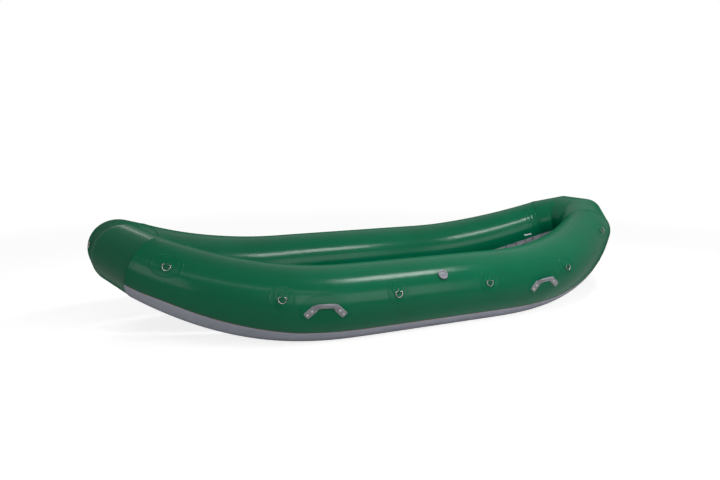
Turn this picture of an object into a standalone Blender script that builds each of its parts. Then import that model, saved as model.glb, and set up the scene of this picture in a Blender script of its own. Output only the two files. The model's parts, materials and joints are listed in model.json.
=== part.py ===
"""Whitewater raft: four inflated tubes in a ring round a laced, self-bailing floor.

Metres. +X is the bow, +Y is port, +Z is up, and the origin is on the ground under the middle of the raft.
"""

import math

import bmesh
import bpy
import numpy as np
from mathutils import Matrix, Vector

for old in list(bpy.data.objects):
    bpy.data.objects.remove(old)

# Hull: the overall sizes, the two tube radii and the fabric
overall_length = 4.27
overall_width = 1.846
side_radius = 0.245
nose_radius = 0.195
fabric = 0.0012
clear = 0.0003
facets = 28
sharp_angle = 32.0

# Hull: the sweep of the centre line, as shares of the nose's distance from the middle or of the side's
nose_rise = 0.325
rise_start_share = 0.31
rise_power = 2.3
bend_start_share = 0.206
bend_power = 2.5
taper_start_share = 0.515
taper_power = 1.9
seam_x_share = 0.938
seam_y_share = 0.432
crease_y_share = 0.164
mitre_length = 0.25

# Hull: the places of the tube's rings, as shares of the way from the middle to the seam
ring_shares = (0.190, 0.322, 0.442, 0.575, 0.690, 0.803, 0.912)
curve_samples = 400

# Baffle
baffle_rim = 0.035
baffle_draw_in = 0.003
baffle_dome = 0.045

# Chafe strip: its edges in degrees below the outboard level, and how the outer edge climbs to the seam
chafe_thickness = 0.0025
chafe_inner_facets = 3
chafe_edge = 37.0
chafe_edge_at_seam = 21.0
chafe_climb_start_share = 0.52
chafe_free_columns = 3

# Floor
floor_thickness = 0.10
floor_height = 0.11
floor_rise = 0.32
floor_rise_start_share = 0.155
floor_rise_power = 1.9
floor_edge_shares = ((1.0, 1.0), (0.3, 0.72), (0.0, 0.25), (0.0, -0.25), (0.3, -0.72), (1.0, -1.0))
floor_samples = 18
web_count = 6
web_margin = 0.012
web_rows = 4

# Lacing: the strip on the tubes, the flange on the floor and the cord between them
lace_count = 40
lace_plate = 0.002
lip_stand_off = 0.0027
lip_width = 0.022
lace_gap = 0.030
flange_width = 0.022
flange_root = 0.008
eyelet = 0.008
eyelet_edge = 0.007
cord_radius = 0.0025
cord_lift = 0.0013
gap_samples = 200
flange_pitch_share = 0.5

# D-rings: places along the tube as shares of the way to the seam, and degrees above the outboard level
dring_places = (("mid", 0.190, 19.5), ("quarter", 0.575, 19.5), ("end", 0.912, 35.0))
nose_dring_angle = 22.0
dring_width = 0.057
dring_depth = 0.036
dring_wire = 0.003
dring_corner_share = 0.15
dring_seat = 0.0009
dring_steps = 5
patch_radius = 0.0775
patch_ring_shares = (0.5, 1.0)
patch_sides = 12
patch_span_share = 0.6
strap_width = 0.034
strap_wall = 0.0028
strap_clear = 0.0006
strap_sides = 6

# Handles
handle_place_share = 0.442
handle_angle = 0.0
handle_length = 0.260
handle_plate_length = 0.077
handle_plate_width = 0.042
handle_plate_thickness = 0.006
handle_plate_length_shares = (-0.5, -0.1, 0.3, 0.5)
handle_plate_width_shares = (-0.5, 0.5)
handle_plate_span_share = 0.4
handle_grip_radius = 0.013
handle_grip_height = 0.038
handle_grip_rise = 0.039
handle_slant = 45.0
handle_patch_width = 0.305
handle_patch_top = 0.106
handle_patch_bottom = 0.075
handle_patch_ring_shares = (0.5, 1.0)
handle_patch_shares = (
    (0.0, -1.0),
    (0.40, -0.98),
    (0.64, -0.84),
    (0.87, -0.53),
    (1.0, 0.0),
    (0.90, 0.55),
    (0.55, 0.92),
    (0.0, 1.0),
)
grip_path_shares = ((-1.0, 0.0, 0.0), (-0.72, 0.55, 0.40), (-0.38, 0.90, 0.88), (0.0, 1.0, 1.0))
grip_sides = 6

# Valves, in the valve's own frame: radii, then heights above the fabric
valve_facet = 10
valve_flange_radius = 0.035
valve_flange_height = 0.005
valve_barrel_radius = 0.0225
valve_barrel_length = 0.026
valve_bore_radius = 0.016
valve_nut_radius = 0.0265
valve_nut_drop = 0.0030
valve_nut_height = 0.004
valve_web_top = 0.012
valve_web_height = 0.004
valve_guide_radius = 0.0042
air_hole_radius = 0.0035
air_hole_count = 3
air_hole_sides = 6
poppet_stem_radius = 0.0038
poppet_disc_radius = 0.020
poppet_disc_height = 0.003
poppet_button_radius = 0.008
poppet_button_height = 0.003
poppet_travel = 0.004
cap_radius = 0.0365
cap_height = 0.007
cap_plug_wall = 0.003
cap_plug_clear = 0.001
cap_plug_depth = 0.007
cap_edge = 0.002
cap_bar_width = 0.010
cap_recess = 0.003
cap_recess_radius = 0.024
valve_sides = 10
floor_valve_share = 0.63
overrun = 0.02

# Worked out from the sizes above
nose_x = overall_length / 2 - nose_radius
side_y = overall_width / 2 - side_radius
seam_x = seam_x_share * nose_x
seam_y = seam_y_share * side_y
crease_y = crease_y_share * side_y
flat_share = math.cos(math.pi / facets)
axis_height = side_radius * flat_share + clear + chafe_thickness
facet_turn = 360 / facets
PORT, STARBOARD = 1, -1


def material(name, colour, roughness, metallic=0.0):
    made = bpy.data.materials.new(name)
    made.use_nodes = True
    surface = made.node_tree.nodes["Principled BSDF"]
    surface.inputs["Base Color"].default_value = (*colour, 1)
    surface.inputs["Roughness"].default_value = roughness
    surface.inputs["Metallic"].default_value = metallic
    return made


def ramp(value, start, end, power):
    """How far value is from start to end, from 0, raised to a power."""
    return max((value - start) / (end - start), 0) ** power


def centre(x):
    """The centre line's point over x, on the port side, up to the seam."""
    bend = ramp(x, bend_start_share * nose_x, seam_x, bend_power)
    return Vector((x, side_y - (side_y - seam_y) * bend, centre_height(x)))


def centre_height(x):
    return axis_height + nose_rise * ramp(x, rise_start_share * nose_x, nose_x, rise_power)


def radius_at(x):
    taper = ramp(x, taper_start_share * nose_x, nose_x, taper_power)
    return side_radius - (side_radius - nose_radius) * taper


# Distances along the centre line, seen from above, from the middle of the side to the bow
curve_x = np.linspace(0, seam_x, curve_samples)
curve_y = np.array([centre(x).y for x in curve_x])
curve_s = np.concatenate([[0], np.cumsum(np.hypot(np.diff(curve_x), np.diff(curve_y)))])
seam_s = float(curve_s[-1])
seam_point = centre(seam_x)
crease_point = Vector((nose_x, crease_y, centre_height(nose_x)))
nose_point = Vector((nose_x, 0, centre_height(nose_x)))
crease_s = seam_s + math.hypot(crease_point.x - seam_point.x, crease_point.y - seam_point.y)
nose_s = crease_s + crease_y
corner_run = (crease_point - seam_point).normalized()
nose_run = (nose_point - crease_point).normalized()


def side_run(s):
    """The centre line's direction on the side tube."""
    step = seam_s / len(curve_s)
    low, high = max(s - step, 0), min(s + step, seam_s)
    first, last = (centre(float(np.interp(at, curve_s, curve_x))) for at in (low, high))
    return (last - first).normalized()


seam_plane = (side_run(seam_s) + corner_run).normalized()
crease_plane = (corner_run + nose_run).normalized()


def cut_point(middle, run, plane, radius, angle):
    """A point on a round tube along run, where the plane through middle with this normal cuts it.

    The angle is measured in the plane, so that two tubes that meet at a mitre agree along its edge.
    """
    out = Vector((-plane.y, plane.x, 0)).normalized()
    up = plane.cross(out)
    turn = math.radians(angle)
    spoke = out * math.cos(turn) + up * math.sin(turn)
    return middle + spoke * (radius / math.sqrt(1 - spoke.dot(run) ** 2))


def quarter_point(s, angle, height):
    """A point on the port bow quarter: s along the tube, angle above the outboard level, height off it."""
    if s <= seam_s:
        x = float(np.interp(s, curve_s, curve_x))
        run = side_run(s)
        share = min(ramp(s, seam_s - mitre_length, seam_s, 1), 1)
        plane = run.lerp(seam_plane, share * share * (3 - 2 * share)).normalized()
        return cut_point(centre(x), run, plane, radius_at(x) + height, angle)
    seam_radius = radius_at(seam_x) + height
    at_crease = (crease_point, crease_plane, nose_radius + height, angle)
    if s <= crease_s:
        share = (s - seam_s) / (crease_s - seam_s)
        first = cut_point(seam_point, corner_run, seam_plane, seam_radius, angle)
        last = cut_point(at_crease[0], corner_run, *at_crease[1:])
        return first.lerp(last, share)
    share = (s - crease_s) / (nose_s - crease_s)
    first = cut_point(at_crease[0], nose_run, *at_crease[1:])
    last = cut_point(nose_point, nose_run, nose_run, nose_radius + height, angle)
    return first.lerp(last, share)


def skin_point(s, angle, height=0.0, side=PORT):
    """A point by the hull's skin. s is 0 at mid-length, nose_s at the bow and -nose_s at the stern."""
    reach = abs(s)
    end = math.copysign(1, s)
    if reach > nose_s:
        reach = 2 * nose_s - reach
        side = -side
    point = quarter_point(reach, angle, height)
    return Vector((point.x * end, point.y * side, point.z))


def tube_radius(s):
    return (skin_point(s, 90) - skin_point(s, -90)).length / 2


bow_rings = [share * seam_s for share in ring_shares] + [seam_s - clear]
side_rings = [-s for s in reversed(bow_rings)] + bow_rings
facet_angles = [facet_turn * (step + 0.5) - 90 for step in range(facets)]


def chord_point(s, angle, height, side):
    """A point by the side tube as its flat facets run, between the rings on either side of s."""
    after = next(index for index in range(1, len(side_rings)) if side_rings[index] >= s)
    low, high = side_rings[after - 1], side_rings[after]
    first, last = (skin_point(at, angle, height, side) for at in (low, high))
    return first.lerp(last, (s - low) / (high - low))


def skin_frame(s, angle, height=0.0, side=PORT):
    """X along the tube, Y straight out of its skin and Z up round it, at a point by the skin."""
    step = fabric
    at = skin_point(s, angle, height, side)
    along = skin_point(s + step, angle, height, side) - skin_point(s - step, angle, height, side)
    around = skin_point(s, angle + 1, height, side) - skin_point(s, angle - 1, height, side)
    out = skin_point(s, angle, height + step, side) - at
    x = along.normalized()
    y = (out - x * out.dot(x)).normalized()
    z = x.cross(y)
    if z.dot(around) < 0:
        x, z = -x, -z
    return framed(at, x, y, z)


def framed(at, x, y, z):
    frame = Matrix((x, y, z)).transposed().to_4x4()
    frame.translation = at
    return frame


# Mesh builders


def add_rows(bm, rows):
    return [[bm.verts.new(point) for point in row] for row in rows]


def skin_rows(bm, rows, closed):
    """Faces between each row and the next. A row of one point is a pole."""
    for first, last in zip(rows, rows[1:]):
        count = max(len(first), len(last))
        for step in range(count if closed else count - 1):
            after = (step + 1) % count
            corners = [first[0]] if len(first) == 1 else [first[step], first[after]]
            corners += [last[0]] if len(last) == 1 else [last[after], last[step]]
            bm.faces.new(corners)


def finished(bm):
    bmesh.ops.recalc_face_normals(bm, faces=bm.faces)
    return bm


def double_skin(outer, inner, closed):
    """A closed wall between two grids of points. closed joins each row's end to its start."""
    bm = bmesh.new()
    top, bottom = add_rows(bm, outer), add_rows(bm, inner)
    skin_rows(bm, top, closed)
    skin_rows(bm, bottom, closed)
    edges = [(top[0], bottom[0]), (top[-1], bottom[-1])]
    if not closed:
        edges += [([row[end] for row in top], [row[end] for row in bottom]) for end in (0, -1)]
    for first, last in edges:
        if len(first) > 1:
            skin_rows(bm, [first, last], closed)
    return finished(bm)


def lathe(profile, sides):
    """A closed profile of (radius, height) turned about Z. Points on the axis are poles."""
    turns = [2 * math.pi * step / sides for step in range(sides)]
    rows = [
        [Vector((r * math.cos(turn), r * math.sin(turn), z)) for turn in (turns if r else turns[:1])]
        for r, z in profile
    ]
    bm = bmesh.new()
    made = add_rows(bm, rows)
    skin_rows(bm, made if not profile[0][0] else made + made[:1], True)
    return finished(bm)


def swept(points, radii, sides, out):
    """A round bar through points, with flat ends. out is any direction across the bar."""
    rows = []
    for index, point in enumerate(points):
        run = (points[min(index + 1, len(points) - 1)] - points[max(index - 1, 0)]).normalized()
        first = (out - run * out.dot(run)).normalized()
        last = run.cross(first)
        turns = [2 * math.pi * step / sides for step in range(sides)]
        rows.append([point + (first * math.cos(t) + last * math.sin(t)) * radii[index] for t in turns])
    bm = bmesh.new()
    made = add_rows(bm, rows)
    skin_rows(bm, made, True)
    bm.faces.new(made[0])
    bm.faces.new(made[-1])
    return finished(bm)


def mesh_object(name, bm, look, frame=None):
    """The mesh as an object, with its origin at the frame where there is one."""
    mesh = bpy.data.meshes.new(name)
    bm.to_mesh(mesh)
    bm.free()
    mesh.materials.append(look)
    made = bpy.data.objects.new(name, mesh)
    bpy.context.collection.objects.link(made)
    if frame:
        mesh.transform(frame.inverted())
        made.matrix_world = frame
    mesh.shade_smooth()
    mesh.set_sharp_from_angle(angle=math.radians(sharp_angle))
    return made


def hide(helper):
    helper.hide_render = True
    helper.display_type = "WIRE"
    return helper


def boolean(target, other, operation):
    change = target.modifiers.new(operation.lower(), "BOOLEAN")
    change.operation = operation
    change.object = hide(other)


def baked(target):
    """A new mesh that holds the object as its modifiers leave it."""
    bpy.context.view_layer.update()
    graph = bpy.context.evaluated_depsgraph_get()
    return bpy.data.meshes.new_from_object(target.evaluated_get(graph))


# Tubes, baffles and chafe strips


def side_tube(name, side):
    outer = [[skin_point(s, angle, 0, side) for angle in facet_angles] for s in side_rings]
    inner = [[skin_point(s, angle, -fabric, side) for angle in facet_angles] for s in side_rings]
    return mesh_object(name, double_skin(outer, inner, True), green)


def end_tube(name, end):
    start = seam_s + clear / 2
    places = [(start, PORT), (crease_s, PORT), (crease_s, STARBOARD), (start, STARBOARD)]
    outer = [[skin_point(end * s, angle, 0, side) for angle in facet_angles] for s, side in places]
    inner = [[skin_point(end * s, angle, -fabric, side) for angle in facet_angles] for s, side in places]
    return mesh_object(name, double_skin(outer, inner, True), green)


def baffle(name, end, side):
    """A domed diaphragm that lines the last of the side tube and closes its air chamber."""
    low, high = (end * (seam_s - clear - back) for back in (baffle_rim, clear))
    middle = sum((chord_point(high, angle, 0, side) for angle in facet_angles), Vector()) / facets
    back = sum((chord_point(low, angle, 0, side) for angle in facet_angles), Vector()) / facets
    inward = (back - middle).normalized()
    layers = []
    for layer in (0, fabric):
        depth = -fabric - clear - layer
        rim = [chord_point(low, angle, depth - baffle_draw_in, side) for angle in facet_angles]
        base = [chord_point(high, angle, depth, side) + inward * layer for angle in facet_angles]
        layers.append([rim, base, [middle + inward * (baffle_dome + layer)]])
    return mesh_object(name, double_skin(layers[0], layers[1], True), lining)


def chafe_edge_at(s):
    climb = ramp(abs(s), chafe_climb_start_share * seam_s, seam_s, 1)
    return -chafe_edge + (chafe_edge - chafe_edge_at_seam) * climb


def chafe_strip(name, side):
    """It follows the tube's facets underneath, and a few free columns climb to its outer edge."""
    fixed = [facet_turn * (step + 0.5) - 90 for step in range(-chafe_inner_facets, chafe_inner_facets)]
    rows = {0: [], chafe_thickness: []}
    for s in side_rings:
        free_turn = (chafe_edge_at(s) - fixed[-1]) / chafe_free_columns
        lift = tube_radius(s) * (1 / math.cos(math.radians(free_turn / 2)) - 1)
        for thick, grid in rows.items():
            height = clear + thick
            row = [skin_point(s, angle, height, side) for angle in fixed]
            for column in range(chafe_free_columns):
                row.append(skin_point(s, fixed[-1] + free_turn * (column + 1), height + lift, side))
            grid.append(row)
    return mesh_object(name, double_skin(rows[chafe_thickness], rows[0], False), rubber)


# Floor and lacing


def floor_z(s, side):
    """The floor's height where the lacing crosses the gap, from how far along the raft that is."""
    outboard, level = (skin_point(s, angle, 0, side) for angle in (0, 180))
    reach = (level - outboard).normalized() * (lip_width + lace_gap / 2)
    furthest = nose_x - nose_radius - lip_width - lace_gap / 2
    rise = ramp(abs((level + reach).x), floor_rise_start_share * nose_x, furthest, floor_rise_power)
    return floor_height + floor_rise * rise


def lace_point(s, side, inset, lift=0.0):
    """A point on the lacing's surface, inset from the tube's skin at the floor's height."""
    outboard, level = (skin_point(s, angle, 0, side) for angle in (0, 180))
    inboard = level - outboard
    inboard.z = 0
    below = math.degrees(math.asin(((level.z + outboard.z) / 2 - floor_z(s, side)) / tube_radius(s)))
    point = skin_point(s, 180 + below, lip_stand_off, side) + inboard.normalized() * inset
    point.z = floor_z(s, side) + lift
    return point


def lace_reach():
    """How far along the tube the floor's innermost line stays on its own side of the raft."""
    innermost = lip_width + lace_gap + flange_width + fabric + floor_thickness / 2
    places = np.linspace(0, nose_s, gap_samples)
    return min((s for s in places if lace_point(s, PORT, innermost).y <= 0), default=nose_s)


# Distances along the middle of the lacing's gap, from the stern along the port side to the bow
lace_end = lace_reach()
gap_s = np.linspace(-lace_end, lace_end, gap_samples)
gap_line = [lace_point(s, PORT, lip_width + lace_gap / 2) for s in gap_s]
gap_run = np.concatenate([[0], np.cumsum([(b - a).length for a, b in zip(gap_line, gap_line[1:])])])


def loop_place(share):
    """(s, side) at a share of the way round the lacing: from the stern along port to the bow, and back."""
    share = share % 1
    s = float(np.interp((share if share <= 0.5 else 1 - share) * 2 * gap_run[-1], gap_run, gap_s))
    return (s, PORT if share <= 0.5 else STARBOARD)


def eyelet_strip(bounds, shift):
    """A thin ring round the raft with an eyelet in each pitch. bounds are the insets of its edges."""
    bm = bmesh.new()
    stations = []
    for index in range(lace_count):
        middle = (index + shift) / lace_count
        probe = eyelet / 2 / (2 * gap_run[-1])
        first, last = (lace_point(*loop_place(at), bounds[1]) for at in (middle - probe, middle + probe))
        half = probe * eyelet / (last - first).length
        stations += [middle - half, middle + half]
    layers = []
    for lift in (lace_plate / 2, -lace_plate / 2):
        places = [loop_place(share) for share in stations]
        rows = [[lace_point(s, side, inset, lift) for inset in bounds] for s, side in places]
        layers.append(add_rows(bm, rows))
    count = len(stations)
    for station in range(count):
        after = (station + 1) % count
        is_eyelet = station % 2 == 0
        for rows in layers:
            here, there = rows[station], rows[after]
            if is_eyelet:
                bm.faces.new([here[0], here[1], there[1], there[0]])
                bm.faces.new([here[2], here[3], there[3], there[2]])
            else:
                bm.faces.new(here + there[::-1])
        columns = (0, 1, 2, 3) if is_eyelet else (0, 3)
        for column in columns:
            wall = [layers[0][station][column], layers[0][after][column]]
            bm.faces.new(wall + [layers[1][after][column], layers[1][station][column]])
        if is_eyelet:
            for place in (station, after):
                wall = [layers[0][place][1], layers[0][place][2]]
                bm.faces.new(wall + [layers[1][place][2], layers[1][place][1]])
    return finished(bm)


tube_eyelet = (0, lip_width - eyelet_edge - eyelet, lip_width - eyelet_edge, lip_width)
flange_start = lip_width + lace_gap
floor_eyelet = (
    flange_start,
    flange_start + eyelet_edge,
    flange_start + eyelet_edge + eyelet,
    flange_start + flange_width + flange_root,
)


def lacing_cord():
    """Down through each eyelet of the tube's strip and up through the next one of the floor's flange."""
    lift = lace_plate / 2 + cord_radius + cord_lift
    points = []
    for index in range(lace_count):
        for shift, bounds, order in ((0, tube_eyelet, (1, -1)), (flange_pitch_share, floor_eyelet, (-1, 1))):
            s, side = loop_place((index + shift) / lace_count)
            inset = (bounds[1] + bounds[2]) / 2
            points += [lace_point(s, side, inset, way * lift) for way in order]
    curve = bpy.data.curves.new("floor_lacing", "CURVE")
    curve.dimensions = "3D"
    curve.bevel_depth = cord_radius
    curve.bevel_resolution = 0
    spline = curve.splines.new("POLY")
    spline.points.add(len(points) - 1)
    for spot, point in zip(spline.points, points):
        spot.co = (*point, 1)
    spline.use_cyclic_u = True
    curve.materials.append(cord_grey)
    made = bpy.data.objects.new("floor_lacing", curve)
    bpy.context.collection.objects.link(made)
    return made


floor_edge_inset = flange_start + flange_width
floor_s = np.linspace(-lace_end, lace_end, floor_samples + 1)


def floor_ring(inset, height):
    """The port half of a ring round the floor, stern to bow, and its starboard half, without the two ends."""
    port = [lace_point(s, PORT, inset, height) for s in floor_s]
    port[0].y = port[-1].y = 0
    return port, [Vector((point.x, -point.y, point.z)) for point in port]


def floor_layer(bm, wall):
    """One closed skin of the floor, wall inside its outer surface."""
    half = floor_thickness / 2
    rings = []
    for inset_share, height_share in floor_edge_shares:
        inset = floor_edge_inset + wall + inset_share * half
        port, starboard = floor_ring(inset, height_share * (half - wall))
        loop = [bm.verts.new(point) for point in port + starboard[-2:0:-1]]
        rings.append(loop)
    skin_rows(bm, rings, True)
    for loop in (rings[0], rings[-1]):
        across = [[loop[step], loop[-step]] for step in range(1, floor_samples)]
        skin_rows(bm, [[loop[0]], *across, [loop[floor_samples]]], False)


def floor_skin():
    bm = bmesh.new()
    floor_layer(bm, 0)
    outer = list(bm.faces)
    bmesh.ops.recalc_face_normals(bm, faces=outer)
    floor_layer(bm, fabric)
    inner = [face for face in bm.faces if face not in set(outer)]
    bmesh.ops.recalc_face_normals(bm, faces=inner)
    bmesh.ops.reverse_faces(bm, faces=inner)
    made = mesh_object("floor_skin", bm, floor_grey)
    flange = mesh_object("floor_flange_join", eyelet_strip(floor_eyelet, flange_pitch_share), floor_grey)
    boolean(made, flange, "UNION")
    return made


def offset_path(path, distance):
    """The path moved sideways by distance. Every corner of it is square."""
    runs = [(Vector(last) - Vector(first)).normalized() for first, last in zip(path, path[1:])]
    moved = []
    for point, before, after in zip(path, runs[:1] + runs, runs + runs[-1:]):
        run = before if before == after else before + after
        moved.append((point[0] - run.y * distance, point[1] + run.x * distance))
    return moved


def floor_webs():
    """One sheet folded up and down, whose upright webs hold the floor's top and bottom together."""
    port, _ = floor_ring(floor_edge_inset + fabric + floor_thickness / 2, 0)
    middle = floor_samples // 2
    stations = port[middle - web_rows : middle + web_rows + 1]
    reach = min(point.y for point in stations) - web_margin
    height = floor_thickness / 2 - fabric - clear - fabric / 2
    path = []
    for web in range(web_count):
        y = reach * (2 * web / (web_count - 1) - 1)
        way = 1 if web % 2 else -1
        path += [(y, height * way), (y, -height * way)]
    outline = offset_path(path, fabric / 2) + offset_path(path, -fabric / 2)[::-1]
    rows = []
    for point in stations:
        rows.append([Vector((point.x, y, point.z + z)) for y, z in outline])
    bm = bmesh.new()
    made = add_rows(bm, rows)
    skin_rows(bm, made, True)
    bm.faces.new(made[0])
    bm.faces.new(made[-1])
    return mesh_object("floor_webs", finished(bm), lining)


# D-rings and handles


def wrapped(place, along, down, height):
    """A point by the skin: along the tube, down round it and off it, from a place (s, angle, side)."""
    s, angle, side = place
    radius = tube_radius(s)
    return skin_point(s + along, angle - math.degrees(down / radius), height, side)


def wrapped_disc(place, rings, thickness, low):
    """A thin sheet on the skin from rings of (along, down) points round a centre, low above the skin."""
    grids = []
    for height in (low + thickness, low):
        rows = [[wrapped(place, 0, 0, height)]]
        rows += [[wrapped(place, along, down, height) for along, down in ring] for ring in rings]
        grids.append(rows)
    return double_skin(grids[0], grids[1], True)


def bulge(step, radius):
    """How far a chord of this length round a tube of this radius dips below its ends."""
    return radius * (1 / math.cos(step / radius / 2) - 1)


def strap_loop():
    """The strap's sleeve round the bar, along X in the D-ring's frame."""
    inner, outer = dring_wire + strap_clear, dring_wire + strap_clear + strap_wall
    half = strap_width / 2
    turns = [2 * math.pi * (step + 0.5) / strap_sides for step in range(strap_sides)]
    rows = []
    for radius, x in ((outer, -half), (outer, half), (inner, half), (inner, -half)):
        rows.append([Vector((x, radius * math.cos(t), radius * math.sin(t))) for t in turns])
    bm = bmesh.new()
    made = add_rows(bm, rows)
    skin_rows(bm, made + made[:1], True)
    return finished(bm)


def dring_curve():
    """The D in its own XZ plane, with its bar on X through the origin."""
    half = dring_width / 2 - dring_wire
    corner = dring_corner_share * dring_depth
    points = [(half - corner, 0)]
    for step in range(dring_steps + 1):
        turn = math.pi * step / dring_steps
        points.append((half * math.cos(turn), -corner - (dring_depth - corner) * math.sin(turn)))
    points.append((corner - half, 0))
    curve = bpy.data.curves.new("dring", "CURVE")
    curve.dimensions = "3D"
    curve.bevel_depth = dring_wire
    curve.bevel_resolution = 1
    spline = curve.splines.new("POLY")
    spline.points.add(len(points) - 1)
    for spot, (x, z) in zip(spline.points, points):
        spot.co = (x, 0, z, 1)
    spline.use_cyclic_u = True
    curve.materials.append(steel)
    return curve


def dring_lean(bar_height, rest_height, radius):
    """The angle, below the level of the bar, at which the D's arc lies on the patch."""
    bar_reach, end_reach = radius + bar_height, radius + rest_height
    inward = bar_reach * bar_reach + dring_depth * dring_depth - end_reach * end_reach
    return math.asin(inward / (2 * bar_reach * dring_depth))


def dring(name, place, curve):
    """The ring and its base: the round patch with the strap's sleeve on it."""
    s, angle, side = place
    radius = tube_radius(s)
    low = clear + bulge(patch_span_share * patch_radius, radius)
    rings = []
    for share in patch_ring_shares:
        turns = [2 * math.pi * index / patch_sides for index in range(patch_sides)]
        reach = patch_radius * share
        rings.append([(reach * math.cos(turn), reach * math.sin(turn)) for turn in turns])
    sleeve_reach = (dring_wire + strap_clear + strap_wall) * math.cos(math.pi / strap_sides)
    bar_height = low + fabric / 2 + sleeve_reach
    frame = skin_frame(s, angle, bar_height, side)
    base = mesh_object(name + "_base", wrapped_disc(place, rings, fabric, low), green, frame)
    sleeve = mesh_object(name + "_sleeve_join", strap_loop(), green)
    sleeve.matrix_world = frame
    boolean(base, sleeve, "UNION")
    ring = bpy.data.objects.new(name, curve)
    bpy.context.collection.objects.link(ring)
    lean = dring_lean(bar_height, low + fabric + dring_seat + dring_wire, radius)
    ring.matrix_world = frame @ Matrix.Rotation(-lean, 4, "X")


def handle(name, place):
    """The moulded grip with its two end plates, and the patch that they are fixed on."""
    s, angle, side = place
    radius = tube_radius(s)
    half_width = handle_patch_width / 2
    outline = []
    for along, down in handle_patch_shares:
        reach = handle_patch_top if down < 0 else handle_patch_bottom
        outline.append((along * half_width, down * reach))
    outline += [(-along, down) for along, down in outline[-2:0:-1]]
    rings = [[(along * share, down * share) for along, down in outline] for share in handle_patch_ring_shares]
    low = clear + bulge(handle_patch_top * handle_patch_ring_shares[0], radius)
    frame = skin_frame(s, angle, 0, side)
    made = mesh_object(name, wrapped_disc(place, rings, fabric, low), grip_grey, frame)
    slant = math.radians(handle_slant)
    reach = (handle_plate_length * math.cos(slant) + handle_plate_width * math.sin(slant)) / 2
    plate_along = handle_length / 2 - reach
    plate_low = clear + bulge(handle_plate_length * handle_plate_span_share, radius)
    plate_top = low + fabric + handle_plate_thickness
    for way in (-1, 1):
        grids = []
        for height in (plate_top, plate_low):
            rows = []
            for length_share in handle_plate_length_shares:
                row = []
                for width_share in handle_plate_width_shares:
                    run = length_share * handle_plate_length
                    cross = width_share * handle_plate_width
                    along = way * (plate_along + run * math.cos(slant) + cross * math.sin(slant))
                    down = run * math.sin(slant) - cross * math.cos(slant)
                    row.append(wrapped(place, along, down, height))
                rows.append(row)
            grids.append(rows)
        plate = mesh_object(f"{name}_plate_join", double_skin(grids[0], grids[1], False), grip_grey, frame)
        boolean(made, plate, "UNION")
    foot = plate_low + handle_grip_radius + fabric
    after_middle = tuple((-along, rise, lift) for along, rise, lift in grip_path_shares[-2::-1])
    points = []
    for along, rise, lift in grip_path_shares + after_middle:
        height = foot + lift * (handle_grip_height - foot)
        points.append(wrapped(place, along * plate_along, -rise * handle_grip_rise, height))
    bar = swept(points, [handle_grip_radius] * len(points), grip_sides, frame.col[1].to_3d())
    boolean(made, mesh_object(f"{name}_grip_join", bar, grip_grey, frame), "UNION")
    return made


# Valves


def valve_body_profile():
    """From the flange's rim over its top, down the bore past the guide web, and back up outside."""
    web_low = valve_web_top + valve_web_height
    nut_low = valve_nut_drop + valve_nut_height
    return (
        (valve_flange_radius, clear),
        (valve_flange_radius, valve_flange_height),
        (valve_bore_radius, valve_flange_height),
        (valve_bore_radius, -valve_web_top),
        (valve_guide_radius, -valve_web_top),
        (valve_guide_radius, -web_low),
        (valve_bore_radius, -web_low),
        (valve_bore_radius, -valve_barrel_length),
        (valve_barrel_radius, -valve_barrel_length),
        (valve_barrel_radius, -nut_low),
        (valve_nut_radius, -nut_low),
        (valve_nut_radius, -valve_nut_drop),
        (valve_barrel_radius, -valve_nut_drop),
        (valve_barrel_radius, clear),
    )


def valve_body_mesh():
    body = mesh_object("valve_body_pattern", lathe(valve_body_profile(), valve_sides), valve_grey)
    middle = (valve_guide_radius + valve_bore_radius) / 2
    bm = bmesh.new()
    for index in range(air_hole_count):
        turn = 2 * math.pi * index / air_hole_count
        at = Vector((middle * math.cos(turn), middle * math.sin(turn), -valve_web_top - valve_web_height / 2))
        bmesh.ops.create_cone(
            bm,
            cap_ends=True,
            segments=air_hole_sides,
            radius1=air_hole_radius,
            radius2=air_hole_radius,
            depth=overrun,
            matrix=Matrix.Translation(at),
        )
    holes = mesh_object("valve_air_holes", bm, valve_grey)
    boolean(body, holes, "DIFFERENCE")
    mesh = baked(body)
    bpy.data.objects.remove(body)
    bpy.data.objects.remove(holes)
    return mesh


def cap_mesh():
    """A flat cap with a plug below, and two finger recesses that leave a bar across its top."""
    low = valve_flange_height + clear
    top = low + cap_height
    plug = valve_bore_radius - cap_plug_clear
    profile = (
        (0, top),
        (cap_radius - cap_edge, top),
        (cap_radius, top - cap_edge),
        (cap_radius, low),
        (plug, low),
        (plug, low - cap_plug_depth),
        (plug - cap_plug_wall, low - cap_plug_depth),
        (plug - cap_plug_wall, low),
        (0, low),
    )
    cap = mesh_object("cap_pattern", lathe(profile, valve_sides), cap_grey)
    cut_low, cut_top = top - cap_recess, top + overrun
    cut_profile = ((0, cut_top), (cap_recess_radius, cut_top), (cap_recess_radius, cut_low), (0, cut_low))
    recess = mesh_object("cap_recess", lathe(cut_profile, valve_sides), cap_grey)
    bm = bmesh.new()
    bmesh.ops.create_cube(bm, size=1)
    bmesh.ops.scale(bm, verts=bm.verts, vec=(2 * cap_radius, cap_bar_width, 2 * overrun + 2 * cap_height))
    bmesh.ops.translate(bm, verts=bm.verts, vec=(0, 0, top))
    bar = mesh_object("cap_bar", bm, cap_grey)
    boolean(recess, bar, "DIFFERENCE")
    boolean(cap, recess, "DIFFERENCE")
    mesh = baked(cap)
    for helper in (cap, recess, bar):
        bpy.data.objects.remove(helper)
    return mesh


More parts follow.
